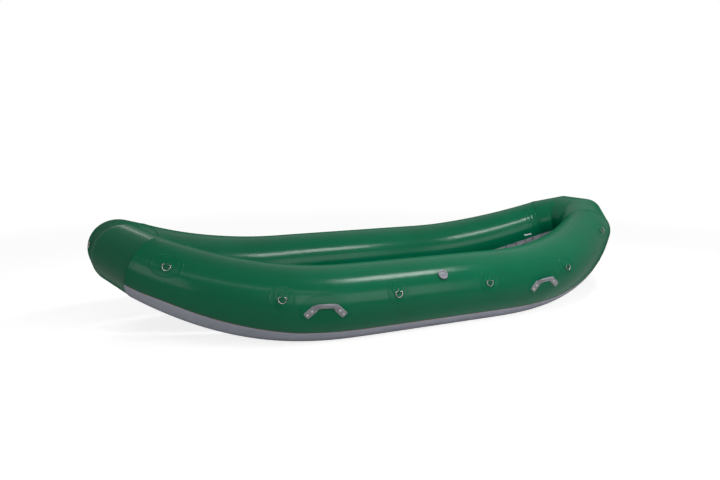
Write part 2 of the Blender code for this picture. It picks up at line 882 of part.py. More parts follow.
def poppet_mesh():
    """The button, its stem through the guide web, and the disc that seals the barrel's inner mouth."""
    seat = -valve_barrel_length - clear
    button_low = -valve_web_top + clear + poppet_travel
    profile = (
        (0, button_low + poppet_button_height),
        (poppet_button_radius, button_low + poppet_button_height),
        (poppet_button_radius, button_low),
        (poppet_stem_radius, button_low),
        (poppet_stem_radius, seat),
        (poppet_disc_radius, seat),
        (poppet_disc_radius, seat - poppet_disc_height),
        (0, seat - poppet_disc_height),
    )
    made = mesh_object("poppet_pattern", lathe(profile, valve_sides), cap_grey)
    mesh = made.data
    bpy.data.objects.remove(made)
    return mesh


def facet_frame(places, facet):
    """Z out of the middle of the hull's flat facet between two places along it, X along the tube."""
    low, high = (
        [skin_point(s, facet_angles[edge], 0, side) for s, side in places] for edge in (facet - 1, facet)
    )
    at = sum(low + high, Vector()) / 4
    x = (low[1] - low[0] + high[1] - high[0]).normalized()
    axis = sum((skin_point(s, angle, 0, side) for s, side in places for angle in (0, 180)), Vector()) / 4
    z = x.cross(high[0] - low[0] + high[1] - low[1]).normalized()
    z = z if z.dot(at - axis) > 0 else -z
    proud = max((corner - at).dot(z) for corner in low + high)
    return framed(at + z * proud, x, z.cross(x), z)


def valve(name, frame, meshes, skin, pieces):
    """The valve's pieces at a frame on a skin, and the hole that its barrel goes through."""
    for piece in pieces:
        made = bpy.data.objects.new(f"{name}_{piece}", meshes[piece])
        bpy.context.collection.objects.link(made)
        made.matrix_world = frame
    reach, half = valve_barrel_radius + clear, overrun / 2
    profile = ((0, half), (reach, half), (reach, -half), (0, -half))
    hole = mesh_object(name + "_hole", lathe(profile, valve_sides), green)
    hole.matrix_world = frame
    boolean(skin, hole, "DIFFERENCE")


def floor_valve_frame():
    """On the floor's top towards the stern, in the middle of a flat stretch between two of its rows."""
    port, _ = floor_ring(floor_edge_inset + floor_thickness / 2, floor_thickness / 2)
    after = round((1 - floor_valve_share) * floor_samples / 2)
    low, high = (Vector((point.x, 0, point.z)) for point in port[after : after + 2])
    x = (high - low).normalized()
    y = Vector((0, 1, 0))
    return framed((low + high) / 2, x, y, x.cross(y))


green = material("hull_green", (0.0, 0.115, 0.055), 0.32)
rubber = material("chafe_rubber", (0.16, 0.18, 0.21), 0.55)
lining = material("lining", (0.05, 0.08, 0.07), 0.6)
floor_grey = material("floor_grey", (0.30, 0.32, 0.34), 0.5)
cord_grey = material("lacing_cord", (0.03, 0.03, 0.035), 0.7)
steel = material("ring_steel", (0.72, 0.73, 0.74), 0.18, 1.0)
grip_grey = material("handle_grey", (0.23, 0.25, 0.27), 0.5)
valve_grey = material("valve_grey", (0.10, 0.11, 0.12), 0.45)
cap_grey = material("cap_grey", (0.50, 0.53, 0.55), 0.4)

sides = (("port", PORT), ("starboard", STARBOARD))
ends = (("bow", 1), ("stern", -1))
skins = {}
for side_name, side in sides:
    skins[side_name] = side_tube(f"{side_name}_tube", side)
    chafe_strip(f"{side_name}_chafe_strip", side)
    for end_name, end in ends:
        baffle(f"{end_name}_{side_name}_baffle", end, side)
for end_name, end in ends:
    skins[end_name] = end_tube(f"{end_name}_tube", end)

skins["floor"] = floor_skin()
floor_webs()
mesh_object("tube_lace_strip", eyelet_strip(tube_eyelet, 0), green)
lacing_cord()

dring_shape = dring_curve()
for end_name, end in ends:
    dring(f"{end_name}_nose_dring", (end * nose_s, nose_dring_angle, PORT), dring_shape)
    for side_name, side in sides:
        for place_name, share, angle in dring_places:
            place = (end * share * seam_s, angle, side)
            dring(f"{end_name}_{side_name}_{place_name}_dring", place, dring_shape)
        handle(f"{end_name}_{side_name}_handle", (end * handle_place_share * seam_s, handle_angle, side))

valve_meshes = {"valve_body": valve_body_mesh(), "valve_cap": cap_mesh(), "valve_poppet": poppet_mesh()}
for side_name, side in sides:
    places = [(end * bow_rings[0], side) for end_name, end in ends]
    valve(side_name, facet_frame(places, valve_facet), valve_meshes, skins[side_name], valve_meshes)
for end_name, end in ends:
    places = [(end * s, PORT) for s in (seam_s + clear / 2, crease_s)]
    valve(end_name, facet_frame(places, valve_facet), valve_meshes, skins[end_name], valve_meshes)
valve("floor", floor_valve_frame(), valve_meshes, skins["floor"], ("valve_body", "valve_cap"))
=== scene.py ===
"""The whitewater raft's looks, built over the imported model: metres, +X bow, +Y port, +Z up."""

import json
import math

import bmesh
import bpy
import numpy as np
from mathutils import Matrix, Vector


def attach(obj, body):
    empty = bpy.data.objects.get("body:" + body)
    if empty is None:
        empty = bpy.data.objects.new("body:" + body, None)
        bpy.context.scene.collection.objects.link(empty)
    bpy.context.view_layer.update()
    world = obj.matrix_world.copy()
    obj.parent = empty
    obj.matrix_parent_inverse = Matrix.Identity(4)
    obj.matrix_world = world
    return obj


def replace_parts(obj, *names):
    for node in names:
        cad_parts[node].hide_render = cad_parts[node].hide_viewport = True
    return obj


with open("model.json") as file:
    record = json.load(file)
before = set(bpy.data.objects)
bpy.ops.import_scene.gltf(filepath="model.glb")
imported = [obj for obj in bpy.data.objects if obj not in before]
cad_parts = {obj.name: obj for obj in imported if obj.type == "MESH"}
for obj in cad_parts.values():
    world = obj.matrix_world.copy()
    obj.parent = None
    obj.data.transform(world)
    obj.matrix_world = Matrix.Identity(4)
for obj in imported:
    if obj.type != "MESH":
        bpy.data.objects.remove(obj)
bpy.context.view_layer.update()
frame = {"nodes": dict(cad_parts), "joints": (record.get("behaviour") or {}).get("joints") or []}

# The hull's shape, in the same values as the solids
overall_length = 4.27
overall_width = 1.846
side_radius = 0.245
nose_radius = 0.195
facets = 28
fabric = 0.0012
clear = 0.0003
chafe_thickness = 0.0025
nose_rise = 0.325
rise_start_share = 0.31
rise_power = 2.3
bend_start_share = 0.206
bend_power = 2.5
taper_start_share = 0.515
taper_power = 1.9
seam_x_share = 0.938
seam_y_share = 0.432
crease_y_share = 0.164
mitre_length = 0.25
curve_samples = 400
axis_height = side_radius * math.cos(math.pi / facets) + clear + chafe_thickness
nose_x = overall_length / 2 - nose_radius
side_y = overall_width / 2 - side_radius
seam_x = seam_x_share * nose_x
seam_y = seam_y_share * side_y
crease_y = crease_y_share * side_y
PORT, STARBOARD = 1, -1
sides = (("port", PORT), ("starboard", STARBOARD))
ends = (("bow", 1), ("stern", -1))


def ramp(value, start, end, power):
    return max((value - start) / (end - start), 0) ** power


def centre_height(x):
    return axis_height + nose_rise * ramp(x, rise_start_share * nose_x, nose_x, rise_power)


def centre(x):
    bend = ramp(x, bend_start_share * nose_x, seam_x, bend_power)
    return np.array((x, side_y - (side_y - seam_y) * bend, centre_height(x)))


def radius_at(x):
    taper = ramp(x, taper_start_share * nose_x, nose_x, taper_power)
    return side_radius - (side_radius - nose_radius) * taper


def unit(vector):
    return vector / np.linalg.norm(vector)


curve_x = np.linspace(0, seam_x, curve_samples)
curve_y = np.array([centre(x)[1] for x in curve_x])
curve_s = np.concatenate([[0], np.cumsum(np.hypot(np.diff(curve_x), np.diff(curve_y)))])
seam_s = float(curve_s[-1])
seam_point = centre(seam_x)
crease_point = np.array((nose_x, crease_y, centre_height(nose_x)))
nose_point = np.array((nose_x, 0, centre_height(nose_x)))
crease_s = seam_s + float(np.hypot(*(crease_point - seam_point)[:2]))
nose_s = crease_s + crease_y
corner_run = unit(crease_point - seam_point)
nose_run = unit(nose_point - crease_point)


def side_run(s):
    step = seam_s / curve_samples
    low, high = max(s - step, 0), min(s + step, seam_s)
    first, last = (centre(float(np.interp(at, curve_s, curve_x))) for at in (low, high))
    return unit(last - first)


seam_plane = unit(side_run(seam_s) + corner_run)
crease_plane = unit(corner_run + nose_run)


def cut_ring(middle, run, plane, radius, turn):
    out = unit(np.array((-plane[1], plane[0], 0)))
    up = np.cross(plane, out)
    spoke = np.outer(np.cos(turn), out) + np.outer(np.sin(turn), up)
    return middle + spoke * (radius / np.sqrt(1 - (spoke @ run) ** 2))[:, None]


def quarter_ring(s, turn, height):
    """Points round the port bow quarter at s. turn and height are arrays."""
    if s <= seam_s:
        x = float(np.interp(s, curve_s, curve_x))
        run = side_run(s)
        share = min(ramp(s, seam_s - mitre_length, seam_s, 1), 1)
        plane = unit(run + (seam_plane - run) * share * share * (3 - 2 * share))
        return cut_ring(centre(x), run, plane, radius_at(x) + height, turn)
    seam_radius = radius_at(seam_x) + height
    crease_radius = nose_radius + height
    if s <= crease_s:
        share = (s - seam_s) / (crease_s - seam_s)
        first = cut_ring(seam_point, corner_run, seam_plane, seam_radius, turn)
        last = cut_ring(crease_point, corner_run, crease_plane, crease_radius, turn)
        return first + (last - first) * share
    share = (s - crease_s) / (nose_s - crease_s)
    first = cut_ring(crease_point, nose_run, crease_plane, crease_radius, turn)
    last = cut_ring(nose_point, nose_run, nose_run, crease_radius, turn)
    return first + (last - first) * share


# Small folds where the fabric is short on the inner side of each mitre: distance from the seam,
# middle and spread in degrees, width and depth
seam_folds = (
    (-0.098, 152, 22, 0.016, 0.0016),
    (-0.060, 163, 34, 0.012, 0.0026),
    (-0.030, 150, 26, 0.009, 0.0022),
    (0.020, 170, 34, 0.010, 0.0026),
    (0.047, 156, 24, 0.009, 0.0018),
)
crease_folds = (
    (-0.040, 168, 24, 0.009, 0.0016),
    (-0.016, 176, 30, 0.007, 0.0020),
    (0.018, 172, 28, 0.007, 0.0018),
    (0.045, 160, 20, 0.008, 0.0012),
)
fold_slant = 0.00035
fold_reach = 0.16
# The tube is blended over this far each way at a mitre: place along it and weight
crease_softness = 0.005
blend_shares = ((-1, 0.5), (-0.5, 1), (0, 1), (0.5, 1), (1, 0.5))


def pucker(s, turn):
    depth = np.zeros_like(turn)
    for place, folds in ((seam_s, seam_folds), (crease_s, crease_folds)):
        for offset, middle, spread_angle, width, most in folds:
            away = (s - place - offset - fold_slant * (turn - middle)) / width
            depth = depth + most * np.exp(-away * away - ((turn - middle) / spread_angle) ** 2)
    return depth


def skin(s, degrees, height=0.0, side=PORT):
    """Points on the smooth skin at s along the tube: 0 at mid-length, nose_s at the bow."""
    degrees = np.atleast_1d(np.asarray(degrees, float))
    height = np.zeros_like(degrees) + height
    reach, end = abs(s), math.copysign(1, s)
    if reach > nose_s:
        reach, side = 2 * nose_s - reach, -side
    turn = np.radians(degrees)
    if reach > seam_s - fold_reach:
        height = height - pucker(reach, (degrees + 90) % 360 - 90)
    if min(abs(reach - seam_s), abs(reach - crease_s)) < crease_softness:
        total, weight = 0, 0
        for step, share in blend_shares:
            total = total + share * quarter_ring(min(reach + step * crease_softness, nose_s), turn, height)
            weight += share
        points = total / weight
    else:
        points = quarter_ring(reach, turn, height)
    return points * np.array((end, side, 1))


def skin_at(s, degrees, height=0.0, side=PORT):
    return Vector(skin(s, degrees, height, side)[0])


def tube_radius(s):
    return (skin_at(s, 90) - skin_at(s, -90)).length / 2


def degrees_over(length, s):
    """The angle that a length covers round the tube at s."""
    return math.degrees(length / tube_radius(s))


def framed(at, x, y, z):
    made = Matrix((x, y, z)).transposed().to_4x4()
    made.translation = at
    return made


def skin_out(s, degrees, side):
    """The direction out of the tube's skin."""
    at = skin_at(s, degrees, 0, side)
    along = skin_at(s + fabric, degrees, 0, side) - skin_at(s - fabric, degrees, 0, side)
    out = skin_at(s, degrees, fabric, side) - at
    x = along.normalized()
    return (out - x * out.dot(x)).normalized()


def wrapped(place, along, down, height):
    """A point on the skin near a place, from distances along the tube and down round it."""
    s, angle, side = place
    return skin_at(s + along, angle - degrees_over(down, s), height, side)


# Mesh builders

upward = Vector((0, 0, 1))
merge_distance = 1e-6
tip_radius = 1e-7
smooth_angle = 40


def running_length(points):
    return np.concatenate([[0], np.cumsum(np.linalg.norm(np.diff(points, axis=0), axis=1))])


def bridge(bm, rows, closed=True):
    """Faces between each row of points and the next, each with its corners' rows and columns."""
    made = [[bm.verts.new(point) for point in row] for row in rows]
    count = len(made[0])
    faces = []
    for index, (first, last) in enumerate(zip(made, made[1:])):
        for step in range(count if closed else count - 1):
            after = (step + 1) % count
            face = bm.faces.new((first[step], first[after], last[after], last[step]))
            corners = ((index, step), (index, step + 1), (index + 1, step + 1), (index + 1, step))
            faces.append((face, corners))
    return made, faces


def finished(name, bm, look, body, angle=smooth_angle):
    bmesh.ops.remove_doubles(bm, verts=bm.verts, dist=merge_distance)
    bmesh.ops.recalc_face_normals(bm, faces=bm.faces)
    mesh = bpy.data.meshes.new(name)
    bm.to_mesh(mesh)
    bm.free()
    mesh.materials.append(look)
    piece = bpy.data.objects.new(name, mesh)
    bpy.context.scene.collection.objects.link(piece)
    mesh.shade_smooth()
    mesh.set_sharp_from_angle(angle=math.radians(angle))
    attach(piece, body)
    return piece


def grid_mesh(name, rows, look, body="hull", closed=False, caps=False):
    """A sheet or bar through rows of points, with flat coordinates in metres for weaves."""
    rows = [np.asarray(row, float) for row in rows]
    steps = [np.linalg.norm(b - a, axis=1).mean() for a, b in zip(rows, rows[1:])]
    along = np.concatenate([[0], np.cumsum(steps)])
    span = rows[len(rows) // 2]
    across = running_length(np.vstack([span, span[:1]]) if closed else span)
    bm = bmesh.new()
    flat = bm.loops.layers.uv.new("flat")
    made, faces = bridge(bm, rows, closed)
    for face, corners in faces:
        for loop, (row, column) in zip(face.loops, corners):
            loop[flat].uv = (along[row], across[column])
    if caps:
        bm.faces.new(made[0])
        bm.faces.new(made[-1])
    return finished(name, bm, look, body)


def closed_solid(name, rows, look, body, angle=smooth_angle):
    bm = bmesh.new()
    bridge(bm, rows)
    return finished(name, bm, look, body, angle)


def thicken(piece, thickness):
    solid = piece.modifiers.new("thickness", "SOLIDIFY")
    solid.thickness = thickness
    solid.offset = -1
    return piece


def at_each(value, count):
    return value if hasattr(value, "__len__") else [value] * count


def swept(points, radii, sides, out, closed=False, flat_share=1.0):
    """Rows of a bar through points. radii and flat_share are one value or one per point."""
    points = [Vector(point) for point in points]
    count = len(points)
    radii, flats = at_each(radii, count), at_each(flat_share, count)
    rows = []
    normal = out
    for index, point in enumerate(points):
        before = points[(index - 1) % count] if closed else points[max(index - 1, 0)]
        after = points[(index + 1) % count] if closed else points[min(index + 1, count - 1)]
        run = (after - before).normalized()
        normal = (normal - run * normal.dot(run)).normalized()
        across = run.cross(normal)
        turns = [2 * math.pi * step / sides for step in range(sides)]
        first, last = normal * radii[index] * flats[index], across * radii[index]
        rows.append([point + first * math.cos(turn) + last * math.sin(turn) for turn in turns])
    if closed:
        # The frame turns a little over the whole loop, so the last row is matched to the first
        shift = min(range(sides), key=lambda k: (rows[-1][k] - rows[0][0]).length)
        rows.append(rows[0][-shift:] + rows[0][:-shift] if shift else rows[0])
    return rows


def lathe_rows(profile, sides, matrix):
    """Rows of a profile of (radius, height) turned about the matrix's Z."""
    turns = [2 * math.pi * step / sides for step in range(sides)]
    return [[matrix @ Vector((r * math.cos(t), r * math.sin(t), z)) for t in turns] for r, z in profile]


def lathe(name, profile, sides, matrix, look, body="hull"):
    """A turned solid. A radius of 0 closes to a point."""
    rows = lathe_rows([(max(r, tip_radius), z) for r, z in profile], sides, matrix)
    return closed_solid(name, rows, look, body)


def joined(name, parts):
    """One piece from several that share a look and a body."""
    first = parts[0]
    bm = bmesh.new()
    for part in parts:
        bm.from_mesh(part.data)
    bm.to_mesh(first.data)
    bm.free()
    first.data.name = name
    first.name = name
    for part in parts[1:]:
        bpy.data.objects.remove(part)
    return first


def rounded(points, radius, steps):
    """A closed flat outline with its corners rounded."""
    made = []
    count = len(points)
    for index, point in enumerate(points):
        here, before, after = Vector(point), Vector(points[index - 1]), Vector(points[(index + 1) % count])
        start = here + (before - here).normalized() * radius
        end = here + (after - here).normalized() * radius
        for step in range(steps + 1):
            t = step / steps
            made.append(start.lerp(here, t).lerp(here.lerp(end, t), t))
    return made


def curve_between(p0, p1, p2, p3, steps):
    """Points from p1 towards p2 on the smooth curve through all four."""
    made = []
    for step in range(steps):
        t = step / steps
        bend = (2 * p0 - 5 * p1 + 4 * p2 - p3) * t**2 + (3 * p1 - p0 - 3 * p2 + p3) * t**3
        made.append(0.5 * (2 * p1 + (p2 - p0) * t + bend))
    return made


def smooth_line(points, steps):
    """An open smooth line through points."""
    made = []
    last = len(points) - 1
    for index in range(last):
        four = (points[min(max(index + step, 0), last)] for step in (-1, 0, 1, 2))
        made += curve_between(*four, steps)
    return made + [points[-1]]


def smooth_loop(points, steps):
    """A closed smooth line through flat points."""
    made = []
    for index in range(len(points)):
        four = (Vector(points[(index + step) % len(points)]) for step in (-1, 0, 1, 2))
        made += curve_between(*four, steps)
    return made


# Materials

edge_on_roughness, edge_on_specular_share = 0.75, 0.2
weave_pitch = 0.0016


def fill(tree, node, inputs):
    """Sets a node's inputs to values or to other nodes' outputs."""
    for name, value in inputs.items():
        if isinstance(value, bpy.types.NodeSocket):
            tree.links.new(value, node.inputs[name])
        else:
            node.inputs[name].default_value = value


def add_node(tree, kind, output, inputs, **settings):
    made = tree.nodes.new("ShaderNode" + kind)
    for name, value in settings.items():
        setattr(made, name, value)
    fill(tree, made, inputs)
    return made.outputs[output]


def new_look(name):
    look = bpy.data.materials.new(name)
    look.use_nodes = True
    tree = look.node_tree
    places = tree.nodes.new("ShaderNodeTexCoord")
    return look, tree, tree.nodes["Principled BSDF"], places.outputs["Object"], places.outputs["UV"]


def add_noise(tree, source, scale, detail=2.0, rough=0.5, stretch=None):
    if stretch:
        source = add_node(tree, "Mapping", "Vector", {"Vector": source, "Scale": stretch})
    inputs = {"Vector": source, "Scale": scale, "Detail": detail, "Roughness": rough}
    return add_node(tree, "TexNoise", "Fac", inputs)


def spread(tree, value, low, high, from_low=0.3, from_high=0.7):
    inputs = {"Value": value, "From Min": from_low, "From Max": from_high, "To Min": low, "To Max": high}
    return add_node(tree, "MapRange", "Result", inputs)


def mixed(tree, factor, first, last):
    inputs = {"Factor": factor}
    for place, colour in (("A", first), ("B", last)):
        inputs[place] = (*colour, 1) if isinstance(colour, tuple) else colour
    return add_node(tree, "Mix", "Result", inputs, data_type="RGBA")


def add_bump(tree, height, distance, strength=1.0, before=None):
    inputs = {"Height": height, "Distance": distance, "Strength": strength}
    if before is not None:
        inputs["Normal"] = before
    return add_node(tree, "Bump", "Normal", inputs)


def weave_height(tree, flat):
    """Crossing threads, from the surface's flat coordinates."""
    inputs = {"Vector": flat, "Scale": math.pi / 10 / weave_pitch}
    inputs |= {"Distortion": 0.4, "Detail": 1.0, "Detail Scale": 2.0}
    threads = [add_node(tree, "TexWave", "Fac", inputs, bands_direction=way) for way in ("X", "Y")]
    return add_node(tree, "Math", "Value", dict(enumerate(threads)), operation="MULTIPLY")


def softer_edge_on(tree, gloss, surface, specular):
    """The weave scatters and swallows more of what it reflects where it is seen edge on."""
    facing = add_node(tree, "LayerWeight", "Facing", {})
    edge = spread(tree, facing, 0.0, 1.0, 0.6, 0.9)
    rough = add_node(tree, "Mix", "Result", {"Factor": edge, "A": gloss, "B": edge_on_roughness})
    faded = spread(tree, facing, specular, specular * edge_on_specular_share, 0.45, 0.80)
    fill(tree, surface, {"Roughness": rough, "Specular IOR Level": faded})


def coated_fabric(name, slot, first, last, rough, specular, dents, weave, scuff=0.0):
    """Coated fabric: two close tones, a faint weave, slow dents and an uneven gloss."""
    look, tree, surface, solid, flat = new_look(name)
    tone = spread(tree, add_noise(tree, solid, 2.3, 4.0, 0.55), 0.0, 1.0)
    colour = mixed(tree, tone, first, last)
    if scuff:
        scratches = add_noise(tree, solid, 34.0, 6.0, 0.7, (1.0, 0.35, 1.0))
        marks = spread(tree, scratches, 0.0, scuff, 0.60, 0.72)
        colour = mixed(tree, marks, colour, tuple(min(c * 1.7 + 0.02, 1.0) for c in last))
    gloss = spread(tree, add_noise(tree, solid, 9.0, 5.0, 0.6), *rough)
    softer_edge_on(tree, gloss, surface, specular)
    slow = add_bump(tree, add_noise(tree, solid, 5.0, rough=0.4), dents, 0.5)
    small = add_bump(tree, add_noise(tree, solid, 26.0, rough=0.4), dents * 0.05, 0.5, slow)
    fine = add_bump(tree, weave_height(tree, flat), weave, 0.3, small)
    fill(tree, surface, {"Base Color": colour, "Normal": fine})
    return look


def moulded(name, slot, first, last, rough, grain, specular=0.5, dust=None):
    """Moulded rubber or plastic: a fine grain, a slow change of tone and worn gloss."""
    look, tree, surface, solid, _ = new_look(name)
    tone = spread(tree, add_noise(tree, solid, 14.0, 4.0, 0.6), 0.0, 1.0)
    colour = mixed(tree, tone, first, last)
    if dust:
        specks = spread(tree, add_noise(tree, solid, 90.0, 5.0, 0.7), 0.0, 0.5, 0.58, 0.72)
        colour = mixed(tree, specks, colour, dust)
    worn = spread(tree, add_noise(tree, solid, 30.0, 4.0, 0.6), *rough)
    grained = add_bump(tree, add_noise(tree, solid, 700.0), grain, 0.5)
    fill(tree, surface, {"Base Color": colour, "Roughness": worn, "Normal": grained})
    fill(tree, surface, {"Specular IOR Level": specular})
    return look


def steel_look(name, first, last):
    look, tree, surface, solid, _ = new_look(name)
    tone = spread(tree, add_noise(tree, solid, 60.0, 3.0, 0.6), 0.0, 1.0)
    worn = spread(tree, add_noise(tree, solid, 240.0, 4.0, 0.6), 0.14, 0.32)
    scratched = add_bump(tree, add_noise(tree, solid, 900.0), 0.00005, 0.4)
    fill(tree, surface, {"Base Color": mixed(tree, tone, first, last), "Metallic": 1.0})
    fill(tree, surface, {"Roughness": worn, "Normal": scratched})
    return look


def braid_look(name, first, last):
    """A braided cord: slanted strands from the cord's flat coordinates."""
    look, tree, surface, _, flat = new_look(name)
    inputs = {"Vector": flat, "Scale": 90.0, "Distortion": 1.5}
    strands = add_node(tree, "TexWave", "Fac", inputs, bands_direction="DIAGONAL")
    raised = add_bump(tree, strands, 0.0006, 0.7)
    fill(tree, surface, {"Base Color": mixed(tree, strands, first, last), "Normal": raised})
    fill(tree, surface, {"Roughness": 0.65, "Specular IOR Level": 0.3, "Sheen Weight": 0.2})
    return look


def grey(value, blue=0.0):
    return (value, value, value + blue)


# Each look's slot, its darker and lighter tone, its range of roughness, then for fabrics gloss,
# dents, weave and scuffs, and for mouldings grain, gloss and dust
greens = ((0.0, 0.077, 0.034), (0.0, 0.088, 0.041))
strap_greens = ((0.0, 0.066, 0.027), (0.0, 0.088, 0.038))
hull_look = coated_fabric("hull_fabric", "hull_green", *greens, (0.16, 0.22), 0.10, 0.0018, 0.00004)
patch_look = coated_fabric("patch_fabric", "hull_green", *greens, (0.19, 0.25), 0.08, 0.0008, 0.00006)
tape_look = coated_fabric("seam_tape_fabric", "hull_green", *greens, (0.19, 0.25), 0.08, 0.0006, 0.00006)
strap_look = coated_fabric("strap_fabric", "hull_green", *strap_greens, (0.30, 0.42), 0.12, 0.0004, 0.00020)
# Very dark green of the glue bead beside each seam lap: painted shade of the gap between the panels
seam_glue_shade_tones = ((0.0, 0.018, 0.008), (0.0, 0.032, 0.014))
seam_glue_shade_look = moulded("seam_glue_and_shade", "hull_green", *seam_glue_shade_tones, (0.35, 0.5), 0.0001, 0.1)
glue_tones = ((0.055, 0.022, 0.018), (0.11, 0.048, 0.040))
glue_look = moulded("glue_line", "chafe_rubber", *glue_tones, (0.35, 0.6), 0.0001, 0.2)
blue_greys = ((0.215, 0.226, 0.270), (0.250, 0.262, 0.302))
chafe_look = coated_fabric(
    "chafe_fabric", "chafe_rubber", *blue_greys, (0.42, 0.58), 0.25, 0.0022, 0.00012, scuff=0.35
)
floor_tones = ((0.088, 0.098, 0.108), (0.122, 0.134, 0.146))
floor_look = coated_fabric(
    "floor_fabric", "floor_grey", *floor_tones, (0.42, 0.56), 0.2, 0.0012, 0.00012, scuff=0.3
)
# Dark tones of the strips over the floor's seams; the same look is the painted shade of the creases at the
# floor's edge
floor_strip_and_crease_shade_tones = ((0.030, 0.032, 0.036), (0.045, 0.047, 0.052))
floor_strip_and_crease_shade_look = moulded("floor_seam_strip_and_crease_shade", "floor_grey", *floor_strip_and_crease_shade_tones, (0.4, 0.55), 0.0001, 0.15)
flange_tones = (grey(0.40, 0.04), grey(0.50, 0.04))
flange_look = coated_fabric(
    "flange_fabric", "floor_grey", *flange_tones, (0.45, 0.6), 0.2, 0.0006, 0.0002, scuff=0.2
)
lining_tones = ((0.035, 0.075, 0.055), (0.05, 0.095, 0.07))
lining_look = coated_fabric("lining_fabric", "lining", *lining_tones, (0.5, 0.65), 0.2, 0.0010, 0.0002)
cord_look = braid_look("lacing_braid", (0.012, 0.011, 0.012), (0.05, 0.045, 0.048))
brass_look = steel_look("grommet_metal", (0.40, 0.39, 0.36), (0.52, 0.50, 0.46))
# The ring's steel tones are far darker than steel's own: painted dark reflection of its surroundings
ring_look = steel_look("ring_steel", grey(0.07, 0.003), grey(0.30, 0.005))
grip_tones = ((0.125, 0.130, 0.142), (0.155, 0.160, 0.174))
grip_look = moulded(
    "handle_rubber", "handle_grey", *grip_tones, (0.32, 0.46), 0.00008, 0.3, dust=grey(0.22, 0.01)
)
rivet_tones = ((0.36, 0.35, 0.33), (0.44, 0.42, 0.40))
rivet_look = moulded("rivet_plastic", "handle_grey", *rivet_tones, (0.3, 0.45), 0.00005, 0.4)
body_tones = ((0.040, 0.042, 0.046), (0.055, 0.058, 0.062))
body_look = moulded("valve_body_plastic", "valve_grey", *body_tones, (0.30, 0.45), 0.00006, 0.3)
cap_tones = ((0.108, 0.116, 0.134), (0.134, 0.142, 0.162))
cap_look = moulded(
    "valve_cap_plastic", "cap_grey", *cap_tones, (0.34, 0.48), 0.00006, 0.3, dust=(0.19, 0.20, 0.22)
)
poppet_tones = ((0.30, 0.31, 0.33), (0.36, 0.37, 0.39))
poppet_look = moulded("poppet_plastic", "cap_grey", *poppet_tones, (0.3, 0.45), 0.00005, 0.3)
label_tones = ((0.56, 0.58, 0.56), (0.66, 0.68, 0.66))
label_look = moulded("label_film", "cap_grey", *label_tones, (0.25, 0.4), 0.00003, 0.3)

# Tubes

ring_steps = 96
around = np.arange(ring_steps) * 360 / ring_steps
side_spacing, mitre_spacing, end_spacing = 0.034, 0.0065, 0.0062


def stations(start, stop, coarse, fine, reach):
    """Places from start to stop, close together within reach of either end."""
    places = [start]
    while places[-1] < stop:
        near = min(places[-1] - start, stop - places[-1]) < reach
        places.append(places[-1] + (fine if near else coarse))
    places = places[:-1] if stop - places[-2] < fine / 2 else places
    places[-1] = stop
    return places


side_places = stations(-(seam_s - clear), seam_s - clear, side_spacing, mitre_spacing, fold_reach)
for side_name, side in sides:
    rows = [skin(s, around, 0, side) for s in side_places]
    piece = grid_mesh(f"{side_name}_side_tube", rows, hull_look, closed=True)
    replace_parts(thicken(piece, fabric), f"{side_name}_tube")

for end_name, end in ends:
    start = seam_s + clear / 2
    places = list(np.arange(start, 2 * nose_s - start, end_spacing)) + [2 * nose_s - start]
    rows = [skin(end * s, around, 0, PORT) for s in places]
    piece = grid_mesh(f"{end_name}_nose_tube", rows, hull_look, closed=True)
    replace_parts(thicken(piece, fabric), f"{end_name}_tube")

# Seams

# The side panel's edge laps over the end panel, with a dark glue bead beside it whose very dark colour is
# painted shade of the gap between the panels.
# Each line of a ring is its distance from the seam towards the end and its height over the skin
lap_lines = (
    (0.0010, 0.00015), (0.0006, 0.00125), (-0.0006, 0.00155),
    (-0.004, 0.00145), (-0.016, 0.00095), (-0.030, 0.00025),
)
seam_bead_lines = ((0.0008, 0.0), (0.0010, 0.0009), (0.0022, 0.0010), (0.0032, 0.0001))


def seam_ring(name, end, side, lines, look):
    rows = [skin(end * (seam_s + ahead), around, height, side) for ahead, height in lines]
    return grid_mesh(name, rows, look, closed=True)


for end_name, end in ends:
    for side_name, side in sides:
        seam_ring(f"{end_name}_{side_name}_seam_lap", end, side, lap_lines, tape_look)
        seam_ring(f"{end_name}_{side_name}_seam_glue_and_shade", end, side, seam_bead_lines, seam_glue_shade_look)

# Chafe strips

# Their edges are in degrees round the tube, and the outer one climbs to the seam
chafe_inner_edge, chafe_outer_edge, chafe_edge_at_seam, chafe_climb_start = -122.0, -37.0, -21.0, 0.52
chafe_foot, chafe_shoulder, chafe_height, chafe_fabric, chafe_turns = 0.0004, 0.0016, 0.0022, 0.0012, 34
ripple_depth, ripple_rates, ripple_spread, ripple_start = 0.0009, (74, 23), 26, 0.25
chafe_inner_turns, chafe_outer_turns = (0.4, 2), (0.3, 1.2)
glue_width, glue_heights = 0.0035, (0.0013, 0.0009, 0.00012)


def chafe_edge_at(s):
    climb = ramp(abs(s), chafe_climb_start * seam_s, seam_s, 1)
    return chafe_outer_edge + (chafe_edge_at_seam - chafe_outer_edge) * climb


def chafe_strip(name, side):
    rows = []
    inner = chafe_inner_edge
    for s in side_places:
        reach = abs(s)
        outer = chafe_edge_at(s)
        flat = np.linspace(inner + chafe_inner_turns[1], outer - chafe_outer_turns[1], chafe_turns)
        first, last = inner + chafe_inner_turns[0], outer - chafe_outer_turns[0]
        turns = np.concatenate([[inner, inner, first], flat, [last, outer, outer]])
        ripple = ripple_depth * np.sin(reach * ripple_rates[0]) * np.sin(reach * ripple_rates[1] + 1)
        ripple = ripple * np.exp(-(((turns - outer) / ripple_spread) ** 2))
        heights = chafe_height + ripple * min(reach / ripple_start, 1)
        heights[0] = heights[-1] = chafe_foot
        heights[1] = heights[-2] = chafe_shoulder
        rows.append(skin(s, turns, heights, side))
    return thicken(grid_mesh(name, rows, chafe_look), chafe_fabric)


def chafe_glue(name, side, inner=False):
    rows = []
    for s in side_places:
        edge = chafe_inner_edge if inner else chafe_edge_at(s)
        step = degrees_over(glue_width, s) * (-1 if inner else 1)
        rows.append(skin(s, (edge, edge + step * 0.3, edge + step), glue_heights, side))
    return grid_mesh(name, rows, glue_look)


